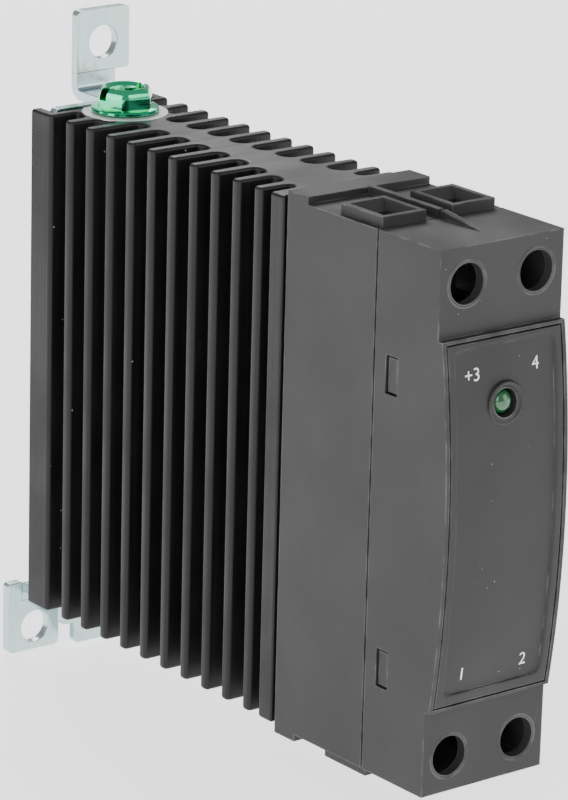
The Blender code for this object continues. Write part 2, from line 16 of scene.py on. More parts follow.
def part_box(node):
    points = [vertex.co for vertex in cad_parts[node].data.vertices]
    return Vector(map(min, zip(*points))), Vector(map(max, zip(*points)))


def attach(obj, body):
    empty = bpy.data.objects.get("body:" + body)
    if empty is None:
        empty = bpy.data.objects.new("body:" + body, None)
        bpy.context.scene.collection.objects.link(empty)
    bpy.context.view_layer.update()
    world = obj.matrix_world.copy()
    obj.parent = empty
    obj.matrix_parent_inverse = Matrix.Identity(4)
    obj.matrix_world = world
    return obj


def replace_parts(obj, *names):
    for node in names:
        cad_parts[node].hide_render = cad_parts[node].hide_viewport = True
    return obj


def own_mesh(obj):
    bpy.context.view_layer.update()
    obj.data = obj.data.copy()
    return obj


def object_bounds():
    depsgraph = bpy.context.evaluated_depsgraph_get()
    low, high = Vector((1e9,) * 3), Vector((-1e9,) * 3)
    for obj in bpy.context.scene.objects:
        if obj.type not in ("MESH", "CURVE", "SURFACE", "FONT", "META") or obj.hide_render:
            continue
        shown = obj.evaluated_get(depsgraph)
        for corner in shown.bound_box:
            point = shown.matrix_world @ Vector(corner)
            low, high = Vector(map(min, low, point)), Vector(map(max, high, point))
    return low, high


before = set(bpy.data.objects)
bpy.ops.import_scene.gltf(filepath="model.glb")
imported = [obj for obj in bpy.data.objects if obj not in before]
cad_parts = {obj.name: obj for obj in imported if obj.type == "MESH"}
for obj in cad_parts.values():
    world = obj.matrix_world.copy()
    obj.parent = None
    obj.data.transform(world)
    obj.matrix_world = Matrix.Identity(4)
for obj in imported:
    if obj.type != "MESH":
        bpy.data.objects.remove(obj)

bl_info = {
    "name": "Solid state relay",
    "version": (1, 0, 0),
    "blender": (4, 5, 0),
    "location": "3D View > Sidebar > Relay",
    "description": "Builds the looks of a slim rail-mounted solid state relay",
    "category": "Object",
}

MM = 0.001
BODY = "relay_body"
CAD_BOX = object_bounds()
TERMINALS = range(1, 5)
MERGE_DISTANCE = 1e-6
SLIVER = 1e-7


def extent(node):
    """The lowest and highest corner of a node of the frame, in millimetres."""
    low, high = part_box(node)
    return np.array(low) / MM, np.array(high) / MM


# Sizes below are in millimetres. Skin.piece writes every mesh in metres.
SINK_LOW, SINK_HIGH = extent("heatsink")
PLATE_LOW, PLATE_HIGH = extent("label_plate")
LAMP_LOW, LAMP_HIGH = extent("status_led")
BRACKET_LOW, BRACKET_HIGH = extent("mounting_bracket")
LATCH_LOW, LATCH_HIGH = extent("din_latch")
SPRING_LOW, SPRING_HIGH = extent("latch_spring")
EARTH_LOW, EARTH_HIGH = extent("ground_screw")


# Shapes worked out as whole arrays


def quad_grid(rows, columns, around=False):
    """Corner numbers of the quads of a grid of rows by columns points, joined round if asked."""
    first = np.arange(rows - 1)[:, None] * columns
    step = np.arange(columns if around else columns - 1)[None, :]
    after = (step + 1) % columns
    quads = np.stack([first + step, first + after, first + columns + after, first + columns + step], -1)
    return quads.reshape(-1, 4)


class Skin:
    """Points and faces of one piece, gathered from several grids that meet along their edges."""

    def __init__(self):
        self.points = []
        self.faces = []
        self.count = 0

    def add(self, points, faces):
        """Adds points, and faces whose corners number those points from 0."""
        points = np.asarray(points, float).reshape(-1, 3)
        self.points.append(points)
        self.faces += [[int(corner) + self.count for corner in face] for face in faces]
        self.count += len(points)

    def grid(self, points, around=False):
        """Adds rows of points as quads, each row joined round if asked."""
        rows, columns = points.shape[:2]
        self.add(points, quad_grid(rows, columns, around))

    def lid(self, loop):
        """Adds one face with the loop's points as its corners."""
        self.add(loop, [np.arange(len(loop))])

    def piece(self, name, look, smooth=40, body=BODY):
        """Merges meeting edges, turns the faces outwards, and puts the piece on its body."""
        mesh = bpy.data.meshes.new(name)
        mesh.from_pydata((np.concatenate(self.points) * MM).tolist(), [], self.faces)
        work = bmesh.new()
        work.from_mesh(mesh)
        bmesh.ops.remove_doubles(work, verts=work.verts, dist=MERGE_DISTANCE)
        bmesh.ops.dissolve_degenerate(work, edges=work.edges, dist=SLIVER)
        bmesh.ops.recalc_face_normals(work, faces=work.faces)
        work.to_mesh(mesh)
        work.free()
        made = bpy.data.objects.new(name, mesh)
        bpy.context.scene.collection.objects.link(made)
        mesh.shade_smooth()
        mesh.set_sharp_from_angle(angle=math.radians(smooth))
        weighted = made.modifiers.new("even shading", "WEIGHTED_NORMAL")
        weighted.keep_sharp = True
        mesh.materials.append(look)
        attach(made, body)
        return made


def rounded(corners, radius, steps=4):
    """A closed outline whose corners are arcs: each arc runs between the points where a circle of
    the radius touches the two edges. radius is one number or one for each corner."""
    corners = np.asarray(corners, float)
    radii = np.broadcast_to(np.asarray(radius, float), len(corners))
    back = np.roll(corners, 1, 0) - corners
    ahead = np.roll(corners, -1, 0) - corners
    back /= np.linalg.norm(back, axis=1, keepdims=True)
    ahead /= np.linalg.norm(ahead, axis=1, keepdims=True)
    half = np.arccos(np.clip((back * ahead).sum(1), -1, 1)) / 2
    reach = radii / np.tan(half)
    bisector = back + ahead
    bisector /= np.maximum(np.linalg.norm(bisector, axis=1, keepdims=True), 1e-9)
    centre = corners + bisector * (radii / np.sin(half))[:, None]
    start = corners + back * reach[:, None] - centre
    end = corners + ahead * reach[:, None] - centre
    sweep = np.arctan2(start[:, 0] * end[:, 1] - start[:, 1] * end[:, 0], (start * end).sum(1))
    turn = sweep[:, None] * np.linspace(0, 1, steps + 1)[None, :]
    cos, sin = np.cos(turn), np.sin(turn)
    x = centre[:, :1] + start[:, :1] * cos - start[:, 1:] * sin
    y = centre[:, 1:] + start[:, :1] * sin + start[:, 1:] * cos
    points = np.stack([x, y], -1).reshape(-1, 2)
    keep = np.linalg.norm(points - np.roll(points, 1, 0), axis=1) > 1e-9
    return points[keep]


def circle(centre, radius, sides=64):
    """A closed ring of points: centre plus radius times (cos a, sin a), a from 0 to a full turn."""
    a = np.linspace(0, 2 * np.pi, sides, endpoint=False)
    return np.stack([centre[0] + radius * np.cos(a), centre[1] + radius * np.sin(a)], -1)


def area(outline):
    """Half the sum of each edge's cross product, so it is negative for a clockwise outline."""
    ahead = np.roll(outline, -1, 0)
    return (outline[:, 0] * ahead[:, 1] - outline[:, 1] * ahead[:, 0]).sum() / 2


def inset(outline, distance):
    """The outline moved inwards: each point goes along the mean of its two edges' normals, by the
    distance over the cosine of half the turn there."""
    edge = np.roll(outline, -1, 0) - outline
    edge /= np.linalg.norm(edge, axis=1, keepdims=True)
    normal = np.stack([-edge[:, 1], edge[:, 0]], -1) * np.sign(area(outline))
    mean = normal + np.roll(normal, 1, 0)
    mean /= np.linalg.norm(mean, axis=1, keepdims=True)
    cos = np.clip((mean * normal).sum(1), 0.3, 1)
    return outline + mean * (distance / cos)[:, None]


def placed(outline, level, axis):
    """Outline pairs at a level along X, Y or Z, as points in space."""
    level = np.full(len(outline), level)
    order = {"x": (level, outline[:, 0], outline[:, 1]), "y": (outline[:, 0], level, outline[:, 1])}
    order["z"] = (outline[:, 0], outline[:, 1], level)
    return np.stack(order[axis], -1)


def slab(skin, outline, axis, low, high, edge=(0, 0), holes=(), steps=3):
    """A plate: the outline carried along an axis from low to high. At each end a quarter round of
    the edge's radius leans in, offset by edge times 1 - cos a and raised by edge times 1 - sin a."""
    a = np.linspace(0, np.pi / 2, steps + 1)
    rings = []
    for end, radius, side in ((low, edge[0], 1), (high, edge[1], -1)):
        turn = a if side > 0 else a[::-1]
        offsets = radius * (1 - np.sin(turn))
        levels = end + side * radius * (1 - np.cos(turn))
        rings += list(zip(offsets, levels)) if radius else [(0.0, end)]
    loops = [(outline, 1)] + [(hole, -1) for hole in holes]
    for loop, side in loops:
        rows = [placed(inset(loop, offset * side), level, axis) for offset, level in rings]
        skin.grid(np.stack(rows), around=True)
    for offset, level in (rings[0], rings[-1]):
        flat = [inset(loop, offset * side) for loop, side in loops]
        shells = [[Vector((p[0], p[1], 0)) for p in loop] for loop in flat]
        skin.add(placed(np.concatenate(flat), level, axis), tessellate_polygon(shells))
    return skin


def turned(profile, centre, sides=64):
    """A profile of (radius, y) pairs turned about a line along Y: at angle a each pair stands at the
    radius times (cos a, sin a) round the centre, and at its own y."""
    profile = np.asarray(profile, float)
    a = np.linspace(0, 2 * np.pi, sides, endpoint=False)
    first = profile[:, :1] * np.cos(a)
    second = profile[:, :1] * np.sin(a)
    level = np.broadcast_to(profile[:, 1:], first.shape)
    return np.stack([first, level, second], -1) + np.asarray(centre, float)


def slotted_head(rings, centre, axis, slot, hexagon=None, outward=1):
    """A screw head with a straight slot. rings are (radius, height) pairs from the rim of the head
    inwards. Two wide groups of columns hold the head's face and two narrow groups the slot's floor:
    on each ring the slot's edges stand at the angle whose sine is the slot's half width over the
    radius. Between flats the radius of a hexagon is its half width over the cosine of the angle
    from the nearest flat."""
    half, floor, turn = slot
    rings = np.asarray(rings, float)
    radius, height = rings[:, :1], rings[:, 1:2]
    safe = np.maximum(radius, 1e-6)
    open_angle = np.arcsin(np.minimum(1, half / safe))
    wide, narrow = 22, 6
    share_wide, share_narrow = np.linspace(0, 1, wide), np.linspace(-1, 1, narrow)
    angles, in_slot = [], []
    for k in (0, 1):
        angles.append(k * np.pi + open_angle * share_narrow)
        in_slot += [True] * narrow
        angles.append(k * np.pi + open_angle + (np.pi - 2 * open_angle) * share_wide)
        in_slot += [False] * wide
    angle = np.concatenate(angles, 1)
    in_slot = np.array(in_slot)[None, :]
    reach = np.broadcast_to(radius, angle.shape)
    if hexagon:
        flat, offset, corner = hexagon
        from_flat = (angle + turn - offset + np.pi / 6) % (np.pi / 3) - np.pi / 6
        shape = np.minimum(flat / np.cos(from_flat), corner)
        blend = rings[:, 2:3]
        reach = reach * (1 - blend) + (shape + reach - corner) * blend
    deep = np.minimum(height * outward, floor * outward) * outward
    level = np.where(in_slot, deep, height)
    first, second = reach * np.cos(angle + turn), reach * np.sin(angle + turn)
    order = {"z": (first, second, level), "y": (first, level, second)}
    return np.stack(order[axis], -1) + np.asarray(centre, float)


def strip_outline(path, radius, thick, steps=6):
    """The outline of a bent sheet: its middle line has arcs of the radius at its corners, and each
    side of the outline stands half the thickness off it along the line's normal."""
    path = np.asarray(path, float)
    back, ahead = path[:-2] - path[1:-1], path[2:] - path[1:-1]
    back /= np.linalg.norm(back, axis=1, keepdims=True)
    ahead /= np.linalg.norm(ahead, axis=1, keepdims=True)
    share = np.linspace(0, np.pi / 2, steps + 1)[None, :, None]
    centre = path[1:-1] + (back + ahead) * radius
    arcs = centre[:, None] - radius * (ahead[:, None] * np.cos(share) + back[:, None] * np.sin(share))
    line = np.concatenate([path[:1], arcs.reshape(-1, 2), path[-1:]])
    run = np.gradient(line, axis=0)
    run[0], run[-1] = line[1] - line[0], line[-1] - line[-2]
    run /= np.linalg.norm(run, axis=1, keepdims=True)
    normal = np.stack([-run[:, 1], run[:, 0]], -1) * thick / 2
    return np.concatenate([line + normal, (line - normal)[::-1]])


def block(skin, low, high, radius=0.15):
    """A box whose edges along X are arcs and whose ends lean in as quarter rounds."""
    corners = [(low[1], low[2]), (high[1], low[2]), (high[1], high[2]), (low[1], high[2])]
    slab(skin, rounded(corners, radius, 2), "x", low[0], high[0], (radius, radius), steps=2)


NODE_MERGE_DISTANCE = 2e-6
FLAT_ANGLE = math.radians(0.5)
SHARP_ANGLE = math.radians(30)
BEVEL_ANGLE = math.radians(35)


def merged_copy(node, name, look, radius):
    """A copy of a frame node with its loose triangles merged, its flat faces made whole, and its
    edges rounded."""
    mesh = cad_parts[node].data.copy()
    mesh.name = name
    work = bmesh.new()
    work.from_mesh(mesh)
    bmesh.ops.remove_doubles(work, verts=work.verts, dist=NODE_MERGE_DISTANCE)
    bmesh.ops.dissolve_limit(
        work, angle_limit=FLAT_ANGLE, verts=work.verts, edges=work.edges, delimit={"NORMAL"}
    )
    bmesh.ops.recalc_face_normals(work, faces=work.faces)
    work.to_mesh(mesh)
    work.free()
    made = bpy.data.objects.new(name, mesh)
    bpy.context.scene.collection.objects.link(made)
    mesh.shade_smooth()
    mesh.set_sharp_from_angle(angle=SHARP_ANGLE)
    mesh.materials.clear()
    mesh.materials.append(look)
    bevel = made.modifiers.new("moulded edges", "BEVEL")
    bevel.width = radius * MM
    bevel.segments = 3
    bevel.limit_method = "ANGLE"
    bevel.angle_limit = BEVEL_ANGLE
    bevel.harden_normals = True
    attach(made, BODY)
    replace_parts(made, node)


# Finishes


class Wiring:
    """Nodes of one tree, joined as they are made: a value is a number, a colour or an output."""

    def __init__(self, tree):
        self.tree = tree

    def feed(self, socket, value):
        if isinstance(value, bpy.types.NodeSocket):
            self.tree.links.new(value, socket)
        else:
            socket.default_value = value

    def node(self, kind, inputs=None, **settings):
        made = self.tree.nodes.new(kind)
        for key, value in settings.items():
            setattr(made, key, value)
        for key, value in (inputs or {}).items():
            self.feed(made.inputs[key], value)
        return made

    def math(self, operation, first, second=0.0):
        return self.node("ShaderNodeMath", {0: first, 1: second}, operation=operation).outputs[0]

    def between(self, value, low, high, start=0.0, end=1.0):
        limits = {"Value": value, "From Min": low, "From Max": high, "To Min": start, "To Max": end}
        return self.node("ShaderNodeMapRange", limits, interpolation_type="SMOOTHSTEP").outputs[0]

    def mix(self, share, first, second):
        sockets = {0: share, 6: first, 7: second}
        return self.node("ShaderNodeMix", sockets, data_type="RGBA").outputs[2]

    def stretched(self, place, scale, shift=(0, 0, 0)):
        sockets = {"Vector": place, "Scale": scale, "Location": shift}
        return self.node("ShaderNodeMapping", sockets).outputs[0]

    def noise(self, place, scale, detail=2.0):
        sockets = {"Vector": place, "Scale": scale, "Detail": detail}
        return self.node("ShaderNodeTexNoise", sockets).outputs["Fac"]


def effect(name, inputs, outputs, build):
    """A shader node group with named sockets, made once. build gets the wiring and the inputs, and
    gives back the outputs in order."""
    if name in bpy.data.node_groups:
        return bpy.data.node_groups[name]
    group = bpy.data.node_groups.new(name, "ShaderNodeTree")
    for label, kind, value in inputs:
        socket = group.interface.new_socket(label, in_out="INPUT", socket_type=f"NodeSocket{kind}")
        if value is not None:
            socket.default_value = value
    for label, kind in outputs:
        group.interface.new_socket(label, in_out="OUTPUT", socket_type=f"NodeSocket{kind}")
    wiring = Wiring(group)
    source = group.nodes.new("NodeGroupInput").outputs
    sink = group.nodes.new("NodeGroupOutput").inputs
    results = build(wiring, {label: source[label] for label, _, _ in inputs})
    for (label, _), value in zip(outputs, results):
        group.links.new(value, sink[label])
    return group


def grain_effect():
    """Moulded or cast grain: fine noise for the height, and broad noise for the mottling."""

    def build(wiring, inputs):
        fine = wiring.noise(inputs["Place"], inputs["Fineness"], 3.0)
        broad = wiring.noise(inputs["Place"], inputs["Breadth"], 4.0)
        return fine, wiring.between(broad, 0.3, 0.7)

    inputs = [("Place", "Vector", None), ("Fineness", "Float", 2600.0), ("Breadth", "Float", 90.0)]
    return effect("moulded grain", inputs, [("Height", "Float"), ("Mottle", "Float")], build)


def dust_effect():
    """Sparse specks: a dot at the middle of some cells of a Voronoi pattern, its size by the cell."""

    def build(wiring, inputs):
        pattern = {"Vector": inputs["Place"], "Scale": inputs["Density"]}
        cells = wiring.node("ShaderNodeTexVoronoi", pattern)
        chance = wiring.node("ShaderNodeSeparateColor", {"Color": cells.outputs["Color"]})
        size = wiring.math("MULTIPLY", chance.outputs["Green"], inputs["Size"])
        dot = wiring.math("LESS_THAN", cells.outputs["Distance"], size)
        kept = wiring.math("LESS_THAN", chance.outputs["Red"], inputs["Share"])
        return (wiring.math("MULTIPLY", dot, kept),)

    inputs = [("Place", "Vector", None), ("Density", "Float", 700.0), ("Size", "Float", 0.12)]
    inputs.append(("Share", "Float", 0.3))
    return effect("dust specks", inputs, [("Mask", "Float")], build)


def edge_wear_and_highlight_effect():
    """Edge wear and painted edge highlight: where a rounded normal leaves the true one, broken up by noise.
    """

    def build(wiring, inputs):
        soft = wiring.node("ShaderNodeBevel", {"Radius": inputs["Reach"]}, samples=6).outputs[0]
        true = wiring.node("ShaderNodeNewGeometry").outputs["Normal"]
        dot = wiring.node("ShaderNodeVectorMath", {0: soft, 1: true}, operation="DOT_PRODUCT")
        edge = wiring.math("SUBTRACT", 1.0, dot.outputs["Value"])
        broken = wiring.between(wiring.noise(inputs["Place"], inputs["Breakup"], 4.0), 0.38, 0.62)
        lip = wiring.between(edge, 0.015, 0.16)
        return (wiring.math("MULTIPLY", lip, broken),)

    inputs = [("Place", "Vector", None), ("Reach", "Float", 0.0004), ("Breakup", "Float", 420.0)]
    return effect("edge wear and painted highlight", inputs, [("Mask", "Float")], build)


def scratch_effect():
    """Fine scratches: a thin band of a noise that is stretched along one way, kept in patches."""

    def build(wiring, inputs):
        lines = wiring.noise(inputs["Place"], inputs["Fineness"], 1.0)
        off = wiring.math("ABSOLUTE", wiring.math("SUBTRACT", lines, 0.5))
        thin = wiring.between(off, 0.0, inputs["Width"], 1.0, 0.0)
        patch = wiring.between(wiring.noise(inputs["Place"], inputs["Patches"], 2.0), 0.5, 0.68)
        return (wiring.math("MULTIPLY", thin, patch),)

    inputs = [("Place", "Vector", None), ("Fineness", "Float", 300.0), ("Width", "Float", 0.01)]
    inputs.append(("Patches", "Float", 60.0))
    return effect("scratches", inputs, [("Mask", "Float")], build)


def new_look(name):
    """A material with only its Principled shader: the wiring, the shader and object coordinates."""
    made = bpy.data.materials.new(name)
    made.use_nodes = True
    wiring = Wiring(made.node_tree)
    shader = made.node_tree.nodes["Principled BSDF"]
    place = wiring.node("ShaderNodeTexCoord").outputs["Object"]
    return made, wiring, shader, place


def placed_effect(wiring, group, **inputs):
    """An effect's node with these inputs fed, given back as its outputs."""
    made = wiring.node("ShaderNodeGroup", node_tree=group)
    for label, value in inputs.items():
        wiring.feed(made.inputs[label.capitalize()], value)
    return made.outputs


def raise_surface(wiring, shader, height, distance, strength):
    """Joins a height to the shader's normal through a bump."""
    sockets = {"Height": height, "Distance": distance, "Strength": strength}
    wiring.feed(shader.inputs["Normal"], wiring.node("ShaderNodeBump", sockets).outputs[0])


def tint(colour, factor):
    """The colour times the factor, held to 1 and made opaque."""
    return (*[min(1.0, part * factor) for part in colour[:3]], 1.0)


def plastic_look(name, colour, roughness, edge_wear_and_highlight, dust):
    """Dark moulded plastic: fine spark-eroded grain, broad mottling, pale edges that are partly wear and
    partly a painted highlight, and dust.
    """
    made, wiring, shader, place = new_look(name)
    grain = placed_effect(wiring, grain_effect(), place=place, fineness=2400.0, breadth=70.0)
    # edge mask for worn edges and for a painted highlight along the rounded edges
    lip = placed_effect(wiring, edge_wear_and_highlight_effect(), place=place, reach=0.00045, breakup=260.0)["Mask"]
    specks = placed_effect(wiring, dust_effect(), place=place, density=760.0, size=0.06, share=dust)
    streaks = wiring.stretched(place, (1.0, 1.0, 0.35))
    scratches = placed_effect(wiring, scratch_effect(), place=streaks, fineness=260.0, width=0.006)
    base = wiring.mix(grain["Mottle"], tint(colour, 0.93), tint(colour, 1.07))
    base = wiring.mix(wiring.math("MULTIPLY", grain["Height"], 0.35), base, tint(colour, 1.45))
    base = wiring.mix(wiring.math("MULTIPLY", scratches["Mask"], 0.3), base, tint(colour, 2.2))
    # pale edges: partly wear, partly a painted highlight along the rounded edges
    base = wiring.mix(wiring.math("MULTIPLY", lip, edge_wear_and_highlight), base, (0.36, 0.36, 0.35, 1.0))
    base = wiring.mix(wiring.math("MULTIPLY", specks["Mask"], 0.7), base, (0.6, 0.6, 0.58, 1.0))
    wiring.feed(shader.inputs["Base Color"], base)
    rough = wiring.math("ADD", roughness - 0.06, wiring.math("MULTIPLY", grain["Mottle"], 0.12))
    wiring.feed(shader.inputs["Roughness"], rough)
    shader.inputs["Specular IOR Level"].default_value = 0.35
    raise_surface(wiring, shader, grain["Height"], 0.00004, 0.7)
    return made


def anodised_look(name, colour):
    """Black anodised extrusion: drawing streaks along Z, sawn ends with lines across, grey edges."""
    made, wiring, shader, place = new_look(name)
    grain = placed_effect(wiring, grain_effect(), place=place, fineness=1800.0, breadth=60.0)
    lip = placed_effect(wiring, edge_wear_and_highlight_effect(), place=place, reach=0.0005, breakup=330.0)["Mask"]
    specks = placed_effect(wiring, dust_effect(), place=place, density=560.0, size=0.08, share=0.16)
    drawn = wiring.noise(wiring.stretched(place, (1.0, 1.0, 0.012)), 1500.0, 4.0)
    sawn = wiring.noise(wiring.stretched(place, (1.0, 0.04, 1.0)), 2600.0, 3.0)
    height = wiring.node("ShaderNodeSeparateXYZ", {"Vector": place}).outputs["Z"]
    end = (SINK_HIGH[2] - 0.3) * MM
    at_end = wiring.between(wiring.math("ABSOLUTE", height), end, end + 0.25 * MM)
    line = wiring.mix(at_end, drawn, sawn)
    base = wiring.mix(wiring.between(line, 0.35, 0.7), tint(colour, 0.75), tint(colour, 1.35))
    base = wiring.mix(wiring.math("MULTIPLY", at_end, 0.6), base, tint(colour, 2.6))
    base = wiring.mix(wiring.math("MULTIPLY", lip, 0.55), base, (0.12, 0.12, 0.12, 1.0))
    base = wiring.mix(wiring.math("MULTIPLY", specks["Mask"], 0.6), base, (0.5, 0.49, 0.46, 1.0))
    wiring.feed(shader.inputs["Base Color"], base)
    rough = wiring.between(grain["Mottle"], 0.0, 1.0, 0.38, 0.52)
    wiring.feed(shader.inputs["Roughness"], rough)
    shader.inputs["Specular IOR Level"].default_value = 0.3
    both = wiring.math("ADD", line, wiring.math("MULTIPLY", grain["Height"], 0.5))
    raise_surface(wiring, shader, both, 0.00006, 0.6)
    return made


def metal_look(name, colour, other, roughness, streak=(1.0, 1.0, 0.1), marks=0.2):
    """Plated or bare metal: two hues in broad patches, rubbing marks along one way, and scratches."""
    made, wiring, shader, place = new_look(name)
    grain = placed_effect(wiring, grain_effect(), place=place, fineness=1500.0, breadth=130.0)
    along = wiring.stretched(place, streak)
    rubbed = wiring.noise(along, 1800.0, 4.0)
    scratches = placed_effect(wiring, scratch_effect(), place=along, fineness=500.0, width=0.012)
    base = wiring.mix(grain["Mottle"], (*colour, 1.0), (*other, 1.0))
    base = wiring.mix(wiring.between(rubbed, 0.3, 0.75, 0.0, marks), base, tint(colour, 0.6))
    wiring.feed(shader.inputs["Base Color"], base)
    rough = wiring.between(rubbed, 0.3, 0.7, roughness * 0.8, roughness * 1.3)
    rough = wiring.math("ADD", rough, wiring.math("MULTIPLY", scratches["Mask"], 0.15))
    wiring.feed(shader.inputs["Roughness"], rough)
    shader.inputs["Metallic"].default_value = 1.0
    height = wiring.math("SUBTRACT", wiring.math("MULTIPLY", rubbed, marks), scratches["Mask"])
    raise_surface(wiring, shader, height, 0.00002, 0.5)
    return made


def faced_look(name, colour, centre):
    """Bare metal left by a spot-facing cutter: fine rings about the centre."""
    made, wiring, shader, place = new_look(name)
    shifted = wiring.stretched(place, (1, 1, 1), [-part * MM for part in centre])
    wave = {"Vector": shifted, "Scale": 900.0, "Distortion": 1.5, "Detail": 2.0}
    rings = wiring.node("ShaderNodeTexWave", wave, wave_type="RINGS", rings_direction="Z").outputs["Fac"]
    mottle = placed_effect(wiring, grain_effect(), place=place, breadth=300.0)["Mottle"]
    base = wiring.mix(rings, tint(colour, 0.8), (*colour, 1.0))
    wiring.feed(shader.inputs["Base Color"], wiring.mix(mottle, base, tint(colour, 0.9)))
    wiring.feed(shader.inputs["Roughness"], wiring.between(mottle, 0.0, 1.0, 0.28, 0.42))
    shader.inputs["Metallic"].default_value = 0.3
    raise_surface(wiring, shader, rings, 0.00003, 0.6)
    return made


def lens_look(name, colour):
    """Tinted clear lens: a coat over a deep colour that pales in faint flow marks."""
    made, wiring, shader, place = new_look(name)
    mottle = placed_effect(wiring, grain_effect(), place=place, breadth=500.0)["Mottle"]
    wiring.feed(shader.inputs["Base Color"], wiring.mix(mottle, tint(colour, 0.8), tint(colour, 1.3)))
    wiring.feed(shader.inputs["Roughness"], wiring.between(mottle, 0.0, 1.0, 0.1, 0.16))
    shader.inputs["Coat Weight"].default_value = 0.6
    shader.inputs["Coat Roughness"].default_value = 0.04
    return made


def plain_look(name, colour, roughness):
    """A hidden part's finish: grain in its height, mottling in its colour and roughness."""
    made, wiring, shader, place = new_look(name)
    grain = placed_effect(wiring, grain_effect(), place=place, fineness=1600.0, breadth=200.0)
    wiring.feed(
        shader.inputs["Base Color"], wiring.mix(grain["Mottle"], tint(colour, 0.85), tint(colour, 1.12))
    )
    rough = wiring.between(grain["Mottle"], 0.0, 1.0, roughness - 0.05, roughness + 0.08)
    wiring.feed(shader.inputs["Roughness"], rough)
    raise_surface(wiring, shader, grain["Height"], 0.00003, 0.5)
    return made


def repaint(look, *nodes):
    """Puts a finish in every material slot of these frame nodes."""
    for name in nodes:
        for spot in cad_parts[name].material_slots:
            spot.material = look


# Heat sink

HALF_W = SINK_HIGH[0]
HALF_H = SINK_HIGH[2]
FRONT_PLATE = 3.4
FIN_COUNT = 10
FIN_PITCH = 5.27
FIN_THICK = 1.9
FIN_TAPER = 0.1
LAST_FIN_Y = -10.0
REAR_PLATE_FRONT_Y = -5.5
CHANNEL_Y = -3.8
LIP_WIDTH = 1.85
WEB_HALF = 2.3
WEB_GROWTH = 3.9
BOSS = (0.0, -9.3)
BOSS_R = 6.8
ROOT_ROUND = 1.2


def web_half_width(y):
    """Half the web's width: a fixed part plus a fourth power of the share of the way to the front
    plate, or the round boss's half chord where that is wider."""
    run = (REAR_PLATE_FRONT_Y - y) / (REAR_PLATE_FRONT_Y - SINK_LOW[1] - FRONT_PLATE)
    chord = np.sqrt(np.maximum(BOSS_R**2 - (y - BOSS[1]) ** 2, 0))
    return np.maximum(WEB_HALF + WEB_GROWTH * np.maximum(run, 0) ** 4, chord)


def sink_outline(tip_round):
    """The extrusion's outline: on each side eleven gaps between flat-ended fins, whose roots stand
    off the web by the root's radius times 1 minus the square root of 1 - t squared."""
    fins = LAST_FIN_Y - FIN_PITCH * np.arange(FIN_COUNT)[::-1]
    lows = np.concatenate([[SINK_LOW[1] + FRONT_PLATE], fins + FIN_THICK / 2])
    highs = np.concatenate([fins - FIN_THICK / 2, [REAR_PLATE_FRONT_Y]])
    t = -np.cos(np.linspace(0, np.pi, 13))[None, :]
    inner_low, inner_high = lows[:, None] + FIN_TAPER, highs[:, None] - FIN_TAPER
    y = (inner_low + inner_high) / 2 + (inner_high - inner_low) / 2 * t
    x = web_half_width(y) + ROOT_ROUND * (1 - np.sqrt(np.maximum(1 - t * t, 0)))
    gaps = np.stack([x, y], -1)
    mouth = np.full(len(lows), HALF_W)
    enters, leaves = (np.stack([mouth, y], -1)[:, None] for y in (lows, highs))
    rows = np.concatenate([enters, gaps, leaves], 1)
    radii = np.zeros(rows.shape[:2])
    radii[:, 0] = radii[:, -1] = tip_round
    tail = [(HALF_W, 0), (HALF_W - LIP_WIDTH, 0), (HALF_W - LIP_WIDTH, CHANNEL_Y)]
    side = np.concatenate([[(HALF_W, SINK_LOW[1])], rows.reshape(-1, 2), tail])
    radius = np.concatenate([[0.35], radii.ravel(), [0.4, 0.3, 0.25]])
    mirrored = side[::-1] * (-1, 1)
    return rounded(np.concatenate([side, mirrored]), np.concatenate([radius, radius[::-1]]), 4)


def make_heat_sink(look, bare, tip_round, edge):
    """The extrusion, and the ring on its boss that a cutter has faced, cut short at the channel."""
    skin = Skin()
    slab(skin, sink_outline(tip_round), "z", SINK_LOW[2], HALF_H, (edge, edge))
    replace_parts(skin.piece("heat_sink_extrusion", look, 35), "heatsink")
    skin = Skin()
    ring = circle(BOSS, BOSS_R - 0.15, 96)
    ring[:, 1] = np.minimum(ring[:, 1], CHANNEL_Y - 0.1)
    slab(skin, ring, "z", HALF_H - 0.1, HALF_H + 0.04, (0, 0.03), [circle(BOSS, 2.7, 48)])
    skin.piece("boss_facing", bare)


# Label plate and its status light

PLATE_EDGE = 0.15
PLATE_RISE = 2.1
PLATE_RISE_Z = 27.5
PANEL_DEEP = 0.38
PANEL_SLOPE = 0.34
PANEL_X = 9.1
PANEL_Z = (-25.2, 25.9)
PANEL_CORNER = 1.4
LAMP_Z = (LAMP_LOW[2] + LAMP_HIGH[2]) / 2
LAMP_HOLE_R = 2.1
LAMP_PATCH = 4.0
PATCH_STEPS = 16
BAND_X = 8.6
BAND_Z = 24.6
NUMBER_SIZE = 2.7
NUMBER_THICK = 0.01
NUMBER_LIFT = 0.012
NUMBERS = (("1", -5.7, -22.4), ("2", 5.7, -22.4), ("+3", -5.9, 22.0), ("4", 5.7, 22.0))
LENS_R = 1.8
LENS_CROWN = 1.5
LENS_FLANGE = 0.9


def stops(*spans):
    """Stops along a line: each span is (start, end, number of steps), and runs on from the last."""
    parts = [np.linspace(start, end, steps, endpoint=False) for start, end, steps in spans]
    return np.append(np.concatenate(parts), spans[-1][1])


